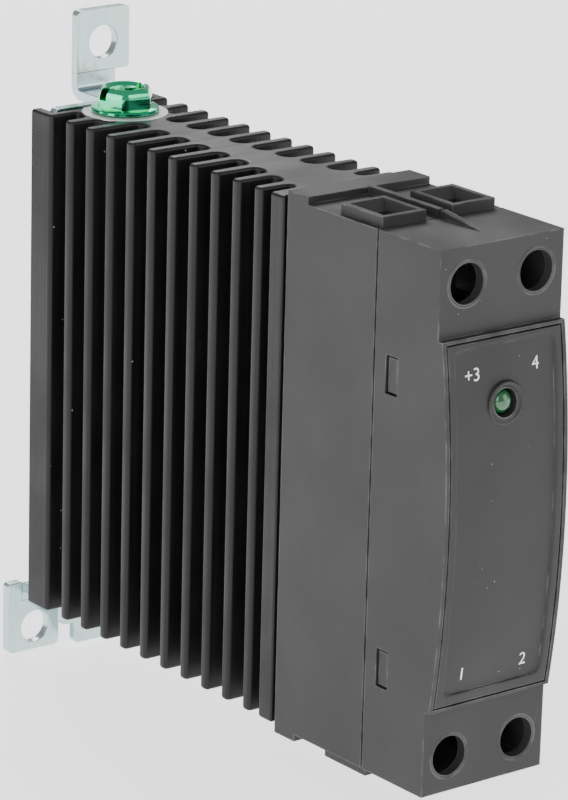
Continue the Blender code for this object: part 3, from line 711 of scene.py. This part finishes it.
def plate_face(x, z):
    """The y of the plate's face: a shallow arc, whose y grows with the square of z, sunk by the panel's
    depth inside a rounded rectangle, and rolled off at the rim."""
    y = PLATE_LOW[1] + PLATE_RISE * (z / PLATE_RISE_Z) ** 2
    middle, half = (PANEL_Z[0] + PANEL_Z[1]) / 2, (PANEL_Z[1] - PANEL_Z[0]) / 2
    beyond_x = np.abs(x) - (PANEL_X - PANEL_CORNER)
    beyond_z = np.abs(z - middle) - (half - PANEL_CORNER)
    outside = np.hypot(np.maximum(beyond_x, 0), np.maximum(beyond_z, 0)) - PANEL_CORNER
    inside = np.maximum(beyond_x, beyond_z) - PANEL_CORNER
    away = np.where(np.maximum(beyond_x, beyond_z) > 0, outside, inside)
    share = np.clip((PANEL_SLOPE / 2 - away) / PANEL_SLOPE, 0, 1)
    y = y + PANEL_DEEP * share * share * (3 - 2 * share)
    rim = np.minimum(PLATE_HIGH[0] - np.abs(x), PLATE_HIGH[2] - np.abs(z))
    short = np.clip(PLATE_EDGE - rim, 0, PLATE_EDGE)
    return y + PLATE_EDGE - np.sqrt(PLATE_EDGE**2 - short**2)


def make_label_plate(look, ink):
    """The plate: a grid over its face with a patch round the lamp, whose rays run from the hole's
    circle to a square, then the hole's wall, the sides and the back."""
    right, back, top = PLATE_HIGH
    side = [(-right, -right + PLATE_EDGE, 5), (-right + PLATE_EDGE, -BAND_X, 9), (-BAND_X, -LAMP_PATCH, 5)]
    mirrored = [(-end, -start, steps) for start, end, steps in side[::-1]]
    xs = stops(*side, (-LAMP_PATCH, LAMP_PATCH, PATCH_STEPS), *mirrored)
    low, high = LAMP_Z - LAMP_PATCH, LAMP_Z + LAMP_PATCH
    lower = [(-top, -top + PLATE_EDGE, 5), (-top + PLATE_EDGE, -BAND_Z, 12), (-BAND_Z, low, 30)]
    upper = [(high, BAND_Z, 5), (BAND_Z, top - PLATE_EDGE, 12), (top - PLATE_EDGE, top, 5)]
    zs = stops(*lower, (low, high, PATCH_STEPS), *upper)
    grid_x, grid_z = np.meshgrid(xs, zs)
    quads = quad_grid(len(zs), len(xs))
    mid_x = grid_x.ravel()[quads].mean(1)
    mid_z = grid_z.ravel()[quads].mean(1)
    kept = quads[(np.abs(mid_x) > LAMP_PATCH) | (np.abs(mid_z - LAMP_Z) > LAMP_PATCH)]
    skin = Skin()
    skin.add(np.stack([grid_x, plate_face(grid_x, grid_z), grid_z], -1), kept)
    skin.add(np.stack([grid_x, np.full_like(grid_x, back), grid_z], -1), kept)
    run = np.linspace(-LAMP_PATCH, LAMP_PATCH, PATCH_STEPS, endpoint=False)
    flat = np.full(PATCH_STEPS, LAMP_PATCH)
    edges = ((run, -flat), (flat, run), (-run, flat), (-flat, -run))
    square = np.concatenate([np.stack(edge, -1) for edge in edges])
    angle = np.arctan2(square[:, 1], square[:, 0])
    rim = LAMP_HOLE_R * np.stack([np.cos(angle), np.sin(angle)], -1)
    share = np.linspace(0, 1, 9)[:, None, None]
    patch = rim + (square - rim) * share
    x, z = patch[..., 0], patch[..., 1] + LAMP_Z
    skin.grid(np.stack([x, plate_face(x, z), z], -1), around=True)
    skin.grid(np.stack([x, np.full_like(x, back), z], -1), around=True)
    ends = [np.stack([x[0], y, z[0]], -1) for y in (plate_face(x[0], z[0]), np.full_like(x[0], back))]
    skin.grid(np.stack(ends), around=True)
    rise = np.full(len(zs) - 2, right)
    loop_x = np.concatenate([xs, rise, xs[::-1], -rise])
    loop_z = np.concatenate([np.full(len(xs), -top), zs[1:-1], np.full(len(xs), top), zs[-2:0:-1]])
    sides = [plate_face(loop_x, loop_z), np.full(len(loop_x), back)]
    skin.grid(np.stack([np.stack([loop_x, y, loop_z], -1) for y in sides]), around=True)
    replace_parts(skin.piece("curved_label_plate", look), "label_plate")
    make_lamp_collar(look)
    for number, (text, x, z) in zip(TERMINALS, NUMBERS):
        make_number(f"terminal_number_{number}", text, x, z, ink)


def make_lamp_collar(look):
    """The ring round the light: a wall that leans in to the hole, and a half round on the outside."""
    face = float(plate_face(np.array(0.0), np.array(LAMP_Z)))
    collar = [(2.05, face + 1.6), (2.05, face + 0.7), (2.25, face + 0.25), (2.85, face - 0.28)]
    a = np.linspace(0, np.pi / 2, 5)
    collar += [(2.98 + 0.27 * np.sin(turn), face - 0.05 - 0.27 * np.cos(turn)) for turn in a]
    collar += [(3.3, face + 0.2), (3.3, face + 1.6), (2.05, face + 1.6)]
    skin = Skin()
    skin.grid(turned(collar, (0, 0, LAMP_Z)), around=True)
    skin.piece("lamp_collar", look)


def make_number(name, text, x, z, look):
    """A printed terminal number: flat text made a mesh, then bent on to the plate's face."""
    curve = bpy.data.curves.new(name, "FONT")
    curve.body = text
    curve.size = NUMBER_SIZE
    curve.align_x, curve.align_y = "CENTER", "CENTER"
    curve.extrude = NUMBER_THICK
    holder = bpy.data.objects.new(name, curve)
    bpy.context.scene.collection.objects.link(holder)
    bpy.context.view_layer.update()
    mesh = bpy.data.meshes.new_from_object(holder)
    bpy.data.objects.remove(holder)
    flat = np.empty(len(mesh.vertices) * 3)
    mesh.vertices.foreach_get("co", flat)
    flat = flat.reshape(-1, 3)
    across, up = flat[:, 0] + x, flat[:, 1] + z
    skin = Skin()
    points = np.stack([across, plate_face(across, up) - NUMBER_LIFT - flat[:, 2], up], -1)
    skin.add(points, [polygon.vertices for polygon in mesh.polygons])
    skin.piece(name, look)


def make_status_light(look):
    """The lens: a dome turned about its own axis, on a straight body and a collar."""
    flange, step = (LAMP_HIGH[0] - LAMP_LOW[0]) / 2, LAMP_HIGH[1] - LENS_FLANGE
    a = np.linspace(0, np.pi / 2, 12)
    dome = np.stack([LENS_R * np.sin(a), LAMP_LOW[1] + LENS_CROWN * (1 - np.cos(a))], -1)
    body = [(LENS_R, step), (flange, step), (flange, LAMP_HIGH[1]), (0, LAMP_HIGH[1])]
    skin = Skin()
    skin.grid(turned(np.concatenate([dome, body]), (0, 0, LAMP_Z), 48), around=True)
    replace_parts(skin.piece("status_lens", look), "status_led")


# Terminals

HOLE_FACE_Y = -98.97
HOLE_LIP_R = 3.45
SHANK_R = 1.5
HEAD_UNDER_Y = -90.5
HEAD_SLOT = (0.45, -91.6)  # half width, and the y of its floor


def make_terminal_screws(look):
    """Slotted cheese heads on plain shanks, one on each terminal's own body."""
    for number in TERMINALS:
        low, high = extent(f"terminal_screw_{number}")
        x, z, radius = (low[0] + high[0]) / 2, (low[2] + high[2]) / 2, (high[0] - low[0]) / 2
        front, tip = low[1], high[1]
        rings = [(0, tip), (SHANK_R, tip), (SHANK_R, HEAD_UNDER_Y), (radius, HEAD_UNDER_Y)]
        rings += [(radius, front + 0.35)]
        rings += [(radius - 0.1, front + 0.1), (radius - 0.35, front), (radius - 0.9, front)]
        rings += [(1.0, front), (0.5, front), (0, front)]
        turn = math.pi / 2 + 0.5 * (number - 2.5)
        skin = Skin()
        skin.grid(slotted_head(rings, (x, 0, z), "y", (*HEAD_SLOT, turn), outward=-1), around=True)
        screw = f"terminal_screw_{number}"
        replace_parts(skin.piece(f"terminal_head_{number}", look, body=screw), screw)


def make_hole_rims(look):
    """A low lip round each screw hole: its height is the half circle over its width, flattened."""
    a = np.linspace(0, np.pi, 7)
    for number in TERMINALS:
        low, high = extent(f"terminal_screw_{number}")
        centre = ((low[0] + high[0]) / 2, HOLE_FACE_Y, (low[2] + high[2]) / 2)
        lip = np.stack([HOLE_LIP_R - 0.2 * np.cos(a), 0.05 - 0.09 * np.sin(a)], -1)
        skin = Skin()
        skin.grid(turned(np.concatenate([lip, lip[:1]]), centre, 96), around=True)
        skin.piece(f"hole_lip_{number}", look, 60)


def make_earth_screw(look):
    """Flanged hexagon head with a dished, slotted top, on the earth screw's body."""
    low, top = EARTH_LOW[2], EARTH_HIGH[2]
    seat, flat = HALF_H + 0.25, 4.0
    corner = flat / math.cos(math.pi / 6)
    rings = [(0, low, 0), (2.3, low, 0), (2.3, seat, 0), (5.15, seat, 0), (5.3, seat + 0.12, 0)]
    rings += [(5.3, seat + 0.45, 0), (5.2, seat + 0.6, 0), (4.95, seat + 0.68, 0), (corner, seat + 0.78, 1)]
    rings += [(corner, top - 1.5, 1), (corner - 0.12, top - 0.95, 1), (corner - 0.4, top - 0.45, 0.95)]
    rings += [(corner - 0.8, top - 0.12, 0.7), (3.4, top, 0.3), (3.1, top - 0.03, 0), (2.8, top - 0.22, 0)]
    rings += [(2.5, top - 0.6, 0), (2.2, top - 0.7, 0)]
    rings += [(1.2, top - 0.72, 0), (0.62, top - 0.72, 0), (0, top - 0.72, 0)]
    skin = Skin()
    slot = (0.6, top - 1.9, 0.0)
    head = slotted_head(rings, (*BOSS, 0), "z", slot, (flat, 0.35, corner))
    skin.grid(head, around=True)
    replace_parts(skin.piece("earth_screw_head", look, 25, "ground_screw"), "ground_screw")


# Rail side

SHEET = 1.6
CUT_EDGE = (0.12, 0.12)
STRIP_Y = (-3.6, -2.0)
STRIP_MARGIN = 2.15
STRIP_END_Z = 40.8
NOTCH_Z = 38.0
LEG_Z = 40.0
LEG_BEND_R = 1.55
UPPER_LEG_X = (1.2, 8.6)
LOWER_LEG_X = (-8.6, -1.3)
EAR_Y = (5.3, 6.9)
UPPER_EAR_FOOT = 43.4
LOWER_EAR_TOP = -42.4
LOWER_WING_TOP = -39.2
EAR_HOLE_R = 2.65
EAR_HOLES = ((6.2, 48.0), (-6.0, -47.3))
HOOK_X = 8.0
HOOK_LINE = ((2.25, 18.8), (2.25, 15.6))
GUIDE_Z = (-31.0, -23.5)
GUIDE_BACK_Y = 4.0
PAN_SCREWS = ((0, 28), (-5, -28))
PAN_UNDER_Y = -1.8
PAN_TIP_Y = -11.0
LATCH_FRONT_Y = 1.5
LATCH_LEFT = -0.9
LATCH_SHOULDER_Z = (-46.6, -42.0)
LATCH_SLOT = ((1.2, -48.2), (6.0, -48.2), (6.0, -46.8), (1.2, -46.8))
SPRING_WIRE_R = 0.25
SPRING_TURNS = 7


def make_bracket(look):
    """Pressed steel: a strip in the channel, two legs bent back to ears, a hook and guides."""
    skin = Skin()
    low, high = STRIP_Y
    middle = (low + high) / 2
    half_x, end = BRACKET_HIGH[0] - STRIP_MARGIN, STRIP_END_Z
    (up_left, up_right), (down_left, down_right) = UPPER_LEG_X, LOWER_LEG_X
    strip = [(-half_x, -end), (down_left, -end), (down_left, -NOTCH_Z), (down_right, -NOTCH_Z)]
    strip += [(down_right, -end), (half_x, -end), (half_x, end), (up_right, end), (up_right, NOTCH_Z)]
    strip += [(up_left, NOTCH_Z), (up_left, end), (-half_x, end)]
    radii = [0.8, 0.1, 0, 0, 0.1, 0.8, 0.8, 0.1, 0, 0, 0.1, 0.8]
    slab(skin, rounded(strip, radii), "y", low, high, CUT_EDGE)
    ear_middle = sum(EAR_Y) / 2
    for sign, bounds, stop in ((1, UPPER_LEG_X, UPPER_EAR_FOOT), (-1, LOWER_LEG_X, -LOWER_EAR_TOP)):
        path = [(middle, sign * NOTCH_Z), (middle, sign * LEG_Z), (ear_middle, sign * LEG_Z)]
        outline = strip_outline([*path, (ear_middle, sign * stop)], LEG_BEND_R, SHEET)
        slab(skin, outline, "x", *bounds, CUT_EDGE)
    right, top = BRACKET_HIGH[0], BRACKET_HIGH[2]
    upper_hole, lower_hole = (circle(centre, EAR_HOLE_R) for centre in EAR_HOLES)
    ear = [(x, UPPER_EAR_FOOT) for x in (up_left, up_right, right)] + [(right, top), (up_left, top)]
    slab(skin, rounded(ear, (0, 0, 0.6, 1.0, 1.0)), "y", *EAR_Y, CUT_EDGE, [upper_hole])
    left, foot = BRACKET_LOW[0], BRACKET_LOW[2]
    ear = [(down_right, LOWER_EAR_TOP), (down_left, LOWER_EAR_TOP), (down_left, LOWER_WING_TOP)]
    ear += [(left, LOWER_WING_TOP), (left, foot), (down_right, foot)]
    slab(skin, rounded(ear, (0, 0, 0.2, 0.6, 1.0, 1.0)), "y", *EAR_Y, CUT_EDGE, [lower_hole])
    hook = strip_outline([(middle, HOOK_LINE[0][1]), *HOOK_LINE], 1.0, 1.5)
    slab(skin, hook, "x", -HOOK_X, HOOK_X, CUT_EDGE)
    root, back = high - 0.5, GUIDE_BACK_Y
    guides = [((8.3, 9.1), (root, back)), ((7.0, 9.1), (3.2, back)), ((7.4, 9.1), (0.4, 1.2))]
    guides += [((-2.0, -1.2), (root, back)), ((-2.0, 0.1), (3.2, back)), ((-2.0, -0.3), (0.4, 1.2))]
    for x, y in guides:
        block(skin, *zip(x, y, GUIDE_Z), CUT_EDGE[0])
    block(skin, (1.5, root, -40.0), (5.5, 1.2, -38.8), CUT_EDGE[0])
    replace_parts(skin.piece("rail_bracket", look), "mounting_bracket")
    for number, (x, z) in enumerate(PAN_SCREWS, 1):
        make_pan_screw(number, x, z, look)


def make_pan_screw(number, x, z, look):
    """Slotted pan head: the crown falls off as a quarter ellipse, and a shank runs into the sink."""
    under, tip = PAN_UNDER_Y, PAN_TIP_Y
    a = np.linspace(0.15, np.pi / 2, 7)
    crown = [(2.6 * math.sin(turn), under + 0.7 + 1.1 * math.cos(turn)) for turn in a[::-1]]
    rings = [(0, tip), (1.35, tip), (1.35, under), (2.6, under), *crown, (0, under + 1.8)]
    skin = Skin()
    skin.grid(slotted_head(rings, (x, 0, z), "y", (0.35, under + 1.0, 0.4 * number)), around=True)
    made = skin.piece(f"bracket_pan_head_{number}", look)
    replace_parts(made, f"bracket_screw_{number}")


def make_latch(look, spring):
    """Sliding latch plate with a pull slot and a shoulder, a stop bar and a lug for its spring."""
    left, right, foot, top = LATCH_LEFT, LATCH_HIGH[0], LATCH_LOW[2], LATCH_HIGH[2]
    low, high = LATCH_SHOULDER_Z
    outline = [(left, top), (left, high), (LATCH_LOW[0], high), (LATCH_LOW[0], low), (left, low)]
    outline += [(left, foot), (right, foot), (right, top)]
    radii = [0.5, 0.3, 0.6, 0.6, 0.3, 0.9, 0.9, 0.5]
    front, rear = LATCH_FRONT_Y, LATCH_HIGH[1]
    skin = Skin()
    slab(skin, rounded(outline, radii), "y", front, rear, CUT_EDGE, [rounded(LATCH_SLOT, 0.65, 8)])
    block(skin, (left + 0.05, -0.6, -19.2), (right - 0.05, front + 0.4, -17.8), 0.15)
    block(skin, (1.5, -1.6, -30.2), (5.5, front + 0.4, -29.0), 0.15)
    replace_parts(skin.piece("latch_plate", look, body="din_latch"), "din_latch")
    make_spring(spring)


def make_spring(look):
    """A round wire along a helix: the angle grows evenly, and the height grows with it except in about
    the half turn at each end, which lies flat."""
    low, high = SPRING_LOW[2], SPRING_HIGH[2]
    centre = (SPRING_LOW + SPRING_HIGH)[:2] / 2
    wire, turns = SPRING_WIRE_R, SPRING_TURNS
    radius = (SPRING_HIGH[0] - SPRING_LOW[0]) / 2 - wire
    share = np.linspace(0, 1, turns * 24 + 1)
    angle = 2 * np.pi * turns * share
    climb = np.clip((share - 0.07) / 0.86, 0, 1)
    height = low + wire + (high - low - 2 * wire) * climb
    path = np.stack([centre[0] + radius * np.cos(angle), centre[1] + radius * np.sin(angle), height], -1)
    out = np.stack([np.cos(angle), np.sin(angle), np.zeros_like(angle)], -1)
    around = np.linspace(0, 2 * np.pi, 10, endpoint=False)
    up = np.array((0.0, 0.0, 1.0))
    ring = out[:, None] * np.cos(around)[:, None] + up * np.sin(around)[:, None]
    tube = path[:, None] + wire * ring
    skin = Skin()
    skin.grid(tube, around=True)
    skin.lid(tube[0])
    skin.lid(tube[-1])
    made = skin.piece("latch_coil", look)
    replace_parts(made, "latch_spring")
    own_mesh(made)


# What a user can change


class RelaySizes(bpy.types.PropertyGroup):
    """Sizes of the rounded edges, in metres."""

    moulded_edge: bpy.props.FloatProperty(
        name="Moulded edge",
        description="Radius of the plastic shells' edges",
        default=0.00022,
        min=0.00005,
        unit="LENGTH",
    )
    fin_tip: bpy.props.FloatProperty(
        name="Fin tip",
        description="Radius of the corners of each fin's tip",
        default=0.0007,
        min=0.0001,
        max=0.0009,
        unit="LENGTH",
    )
    sawn_edge: bpy.props.FloatProperty(
        name="Sawn edge",
        description="Radius of the edges round the heat sink's sawn ends",
        default=0.0005,
        min=0.0001,
        unit="LENGTH",
    )


def colour_setting(name, description, default):
    """A colour that shows in the panel."""
    return bpy.props.FloatVectorProperty(
        name=name, description=description, default=default, subtype="COLOR", size=3, min=0, max=1
    )


class RelayColours(bpy.types.PropertyGroup):
    """Colours of the finishes."""

    shell: colour_setting("Shell", "Dark grey plastic of the housing and cover", (0.023, 0.023, 0.0238))
    plate: colour_setting("Label plate", "Darker plastic of the label plate", (0.016, 0.0162, 0.0166))
    anodised: colour_setting("Heat sink", "Black anodised aluminium", (0.005, 0.005, 0.0052))
    zinc: colour_setting("Zinc", "Zinc plating of the bracket and latch", (0.44, 0.58, 0.63))
    earth: colour_setting("Earth screw", "Green plating of the earth screw", (0.05, 0.6, 0.3))
    nickel: colour_setting("Nickel", "Nickel plating of the terminals", (0.66, 0.62, 0.53))
    aluminium: colour_setting("Bare metal", "Cut aluminium and tinned copper", (0.8, 0.8, 0.78))
    lens: colour_setting("Status light", "Green tinted lens", (0.01, 0.085, 0.025))
    floor: colour_setting("Floor", "Pale floor and backdrop", (0.9, 0.9, 0.9))


def settings():
    """The scene's sizes and colours of the relay."""
    scene = bpy.context.scene
    return scene.relay_sizes, scene.relay_colours


# Operators


class RELAY_OT_heat_sink(bpy.types.Operator):
    """Build the finned heat sink and the faced top of its boss"""

    bl_idname = "relay.heat_sink"
    bl_label = "Heat sink"

    def execute(self, context):
        sizes, colours = settings()
        look = anodised_look("black anodised", colours.anodised)
        bare = faced_look("faced aluminium", colours.aluminium, (*BOSS, 0))
        make_heat_sink(look, bare, sizes.fin_tip / MM, sizes.sawn_edge / MM)
        return {"FINISHED"}


class RELAY_OT_shells(bpy.types.Operator):
    """Build the base housing and the front cover"""

    bl_idname = "relay.shells"
    bl_label = "Housing and cover"

    def execute(self, context):
        sizes, colours = settings()
        look = plastic_look("shell plastic", colours.shell, 0.6, 0.25, 0.22)
        edge = sizes.moulded_edge / MM
        merged_copy("rear_housing", "base_housing", look, edge * 1.4)
        merged_copy("front_cover", "moulded_cover", look, edge)
        make_hole_rims(look)
        return {"FINISHED"}


class RELAY_OT_label_plate(bpy.types.Operator):
    """Build the curved label plate, its numbers and the status light"""

    bl_idname = "relay.label_plate"
    bl_label = "Label plate"

    def execute(self, context):
        _, colours = settings()
        look = plastic_look("label plastic", colours.plate, 0.52, 0.4, 0.25)
        ink = plain_look("printed white", (0.75, 0.75, 0.73), 0.6)
        make_label_plate(look, ink)
        make_status_light(lens_look("green lens", colours.lens))
        return {"FINISHED"}


class RELAY_OT_terminals(bpy.types.Operator):
    """Build the terminal screws and finish the cages and bars"""

    bl_idname = "relay.terminals"
    bl_label = "Terminals"

    def execute(self, context):
        _, colours = settings()
        nickel = metal_look("nickel plating", colours.nickel, (0.7, 0.64, 0.5), 0.28)
        copper = metal_look("tinned copper", colours.aluminium, (0.75, 0.68, 0.6), 0.34)
        make_terminal_screws(nickel)
        repaint(nickel, *(f"terminal_clamp_{number}" for number in TERMINALS))
        repaint(copper, *(f"terminal_bar_{number}" for number in TERMINALS))
        return {"FINISHED"}


class RELAY_OT_earth_screw(bpy.types.Operator):
    """Build the green earth screw"""

    bl_idname = "relay.earth_screw"
    bl_label = "Earth screw"

    def execute(self, context):
        _, colours = settings()
        look = metal_look("green plating", colours.earth, (0.07, 0.66, 0.34), 0.12, (1, 1, 1), 0.2)
        make_earth_screw(look)
        return {"FINISHED"}


class RELAY_OT_bracket(bpy.types.Operator):
    """Build the mounting bracket and the screws that hold it"""

    bl_idname = "relay.bracket"
    bl_label = "Mounting bracket"

    def execute(self, context):
        _, colours = settings()
        make_bracket(metal_look("zinc plating", colours.zinc, (0.5, 0.6, 0.55), 0.24, marks=0.05))
        return {"FINISHED"}


class RELAY_OT_latch(bpy.types.Operator):
    """Build the rail latch and its spring"""

    bl_idname = "relay.latch"
    bl_label = "Rail latch"

    def execute(self, context):
        _, colours = settings()
        steel = metal_look("latch zinc plating", colours.zinc, (0.5, 0.6, 0.55), 0.24, marks=0.05)
        spring = metal_look("spring steel", (0.5, 0.5, 0.5), (0.42, 0.4, 0.36), 0.3, (1, 1, 1))
        make_latch(steel, spring)
        return {"FINISHED"}


class RELAY_OT_inner_parts(bpy.types.Operator):
    """Finish the board, the power stage and the other parts inside"""

    bl_idname = "relay.inner_parts"
    bl_label = "Inner parts"

    def execute(self, context):
        _, colours = settings()
        repaint(plain_look("board lacquer", (0.02, 0.12, 0.05), 0.4), "control_board")
        chips = ("optocoupler", "thyristor_1", "thyristor_2")
        repaint(plain_look("black epoxy", (0.02, 0.02, 0.021), 0.5), *chips)
        repaint(plain_look("film wrap", (0.6, 0.4, 0.05), 0.35), "snubber_capacitor")
        repaint(plain_look("resistor lacquer", (0.25, 0.26, 0.28), 0.45), "snubber_resistor")
        repaint(plain_look("white ceramic", (0.8, 0.79, 0.76), 0.5), "power_substrate")
        repaint(plain_look("silicone pad", (0.45, 0.5, 0.55), 0.75), "thermal_pad")
        bare = metal_look("milled aluminium", colours.aluminium, (0.74, 0.75, 0.77), 0.32)
        repaint(bare, "heat_spreader_plate")
        screw = metal_look("screw plating", colours.zinc, (0.72, 0.76, 0.72), 0.3, (1, 1, 1))
        repaint(screw, "module_screw_1", "module_screw_2")
        return {"FINISHED"}


# Stage, in metres and degrees

CAMERA_PLACE = (-0.38082, -0.53355, 0.19515)
CAMERA_TURN = (72.632, -1.444, -37.922)
CAMERA_LENS = 193.6
CAMERA_SHIFT = (-0.0094, 0.0139)
FLOOR_HALF = 6.0
FLOOR_GAP = 0.05 * MM
FLOOR_GLOW = 1.7
SKY_STRENGTH = (0.45, 2.0)  # as a light, and as seen
LIGHTS = (
    ("key light", (-1.15, -0.95, 0.75), 1.1, 15.0),
    ("fill light", (0.75, -1.1, 0.45), 0.9, 6.0),
    ("side light", (-1.3, 0.35, 0.35), 0.8, 6.0),
    ("rim light", (0.6, 1.0, 0.9), 0.8, 9.0),
)
LIGHT_AIM = (0.0, -0.045, 0.0)


class RELAY_OT_stage(bpy.types.Operator):
    """Set up the floor, the lights, the world and the camera"""

    bl_idname = "relay.stage"
    bl_label = "Stage"

    def execute(self, context):
        _, colours = settings()
        scene = context.scene
        level, side = CAD_BOX[0][2] - FLOOR_GAP, FLOOR_HALF
        corners = [(-side, -side, level), (side, -side, level), (side, side, level), (-side, side, level)]
        mesh = bpy.data.meshes.new("pale_floor")
        mesh.from_pydata(corners, [], [(0, 1, 2, 3)])
        floor = bpy.data.objects.new("pale_floor", mesh)
        scene.collection.objects.link(floor)
        look, _, shader, _ = new_look("pale floor")
        shader.inputs["Base Color"].default_value = (*colours.floor, 1.0)
        shader.inputs["Roughness"].default_value = 0.9
        shader.inputs["Emission Color"].default_value = (*colours.floor, 1.0)
        shader.inputs["Emission Strength"].default_value = FLOOR_GLOW
        mesh.materials.append(look)
        world = bpy.data.worlds.new("pale surroundings")
        world.use_nodes = True
        background = world.node_tree.nodes["Background"]
        background.inputs["Color"].default_value = (1.0, 1.0, 1.0, 1.0)
        wiring = Wiring(world.node_tree)
        seen = wiring.node("ShaderNodeLightPath").outputs["Is Camera Ray"]
        wiring.feed(background.inputs["Strength"], wiring.between(seen, 0.0, 1.0, *SKY_STRENGTH))
        scene.world = world
        for name, place, size, power in LIGHTS:
            data = bpy.data.lights.new(name, "AREA")
            data.shape = "SQUARE"
            data.size = size
            data.energy = power
            light = bpy.data.objects.new(name, data)
            aim = Vector(LIGHT_AIM) - Vector(place)
            light.location = place
            light.rotation_euler = aim.to_track_quat("-Z", "Y").to_euler()
            scene.collection.objects.link(light)
        data = bpy.data.cameras.new("camera")
        data.sensor_width = 36.0
        data.lens = CAMERA_LENS
        data.shift_x, data.shift_y = CAMERA_SHIFT
        camera = bpy.data.objects.new("camera", data)
        camera.location = CAMERA_PLACE
        camera.rotation_euler = [math.radians(turn) for turn in CAMERA_TURN]
        scene.collection.objects.link(camera)
        scene.camera = camera
        return {"FINISHED"}


OPERATORS = (
    RELAY_OT_heat_sink,
    RELAY_OT_shells,
    RELAY_OT_label_plate,
    RELAY_OT_terminals,
    RELAY_OT_earth_screw,
    RELAY_OT_bracket,
    RELAY_OT_latch,
    RELAY_OT_inner_parts,
    RELAY_OT_stage,
)


class RELAY_PT_panel(bpy.types.Panel):
    """Sizes, colours and building steps of the relay"""

    bl_idname = "RELAY_PT_panel"
    bl_label = "Solid state relay"
    bl_space_type = "VIEW_3D"
    bl_region_type = "UI"
    bl_category = "Relay"

    def draw(self, context):
        for group in settings():
            for key in group.__annotations__:
                self.layout.prop(group, key)
        for operator in OPERATORS:
            self.layout.operator(operator.bl_idname)


CLASSES = (RelaySizes, RelayColours, *OPERATORS, RELAY_PT_panel)


def register():
    for kind in CLASSES:
        bpy.utils.register_class(kind)
    bpy.types.Scene.relay_sizes = bpy.props.PointerProperty(type=RelaySizes)
    bpy.types.Scene.relay_colours = bpy.props.PointerProperty(type=RelayColours)


def unregister():
    del bpy.types.Scene.relay_colours
    del bpy.types.Scene.relay_sizes
    for kind in reversed(CLASSES):
        bpy.utils.unregister_class(kind)


def main():
    register()
    for operator in OPERATORS:
        group, name = operator.bl_idname.split(".")
        getattr(getattr(bpy.ops, group), name)()
    bpy.context.view_layer.update()


if __name__ == "__main__":
    main()
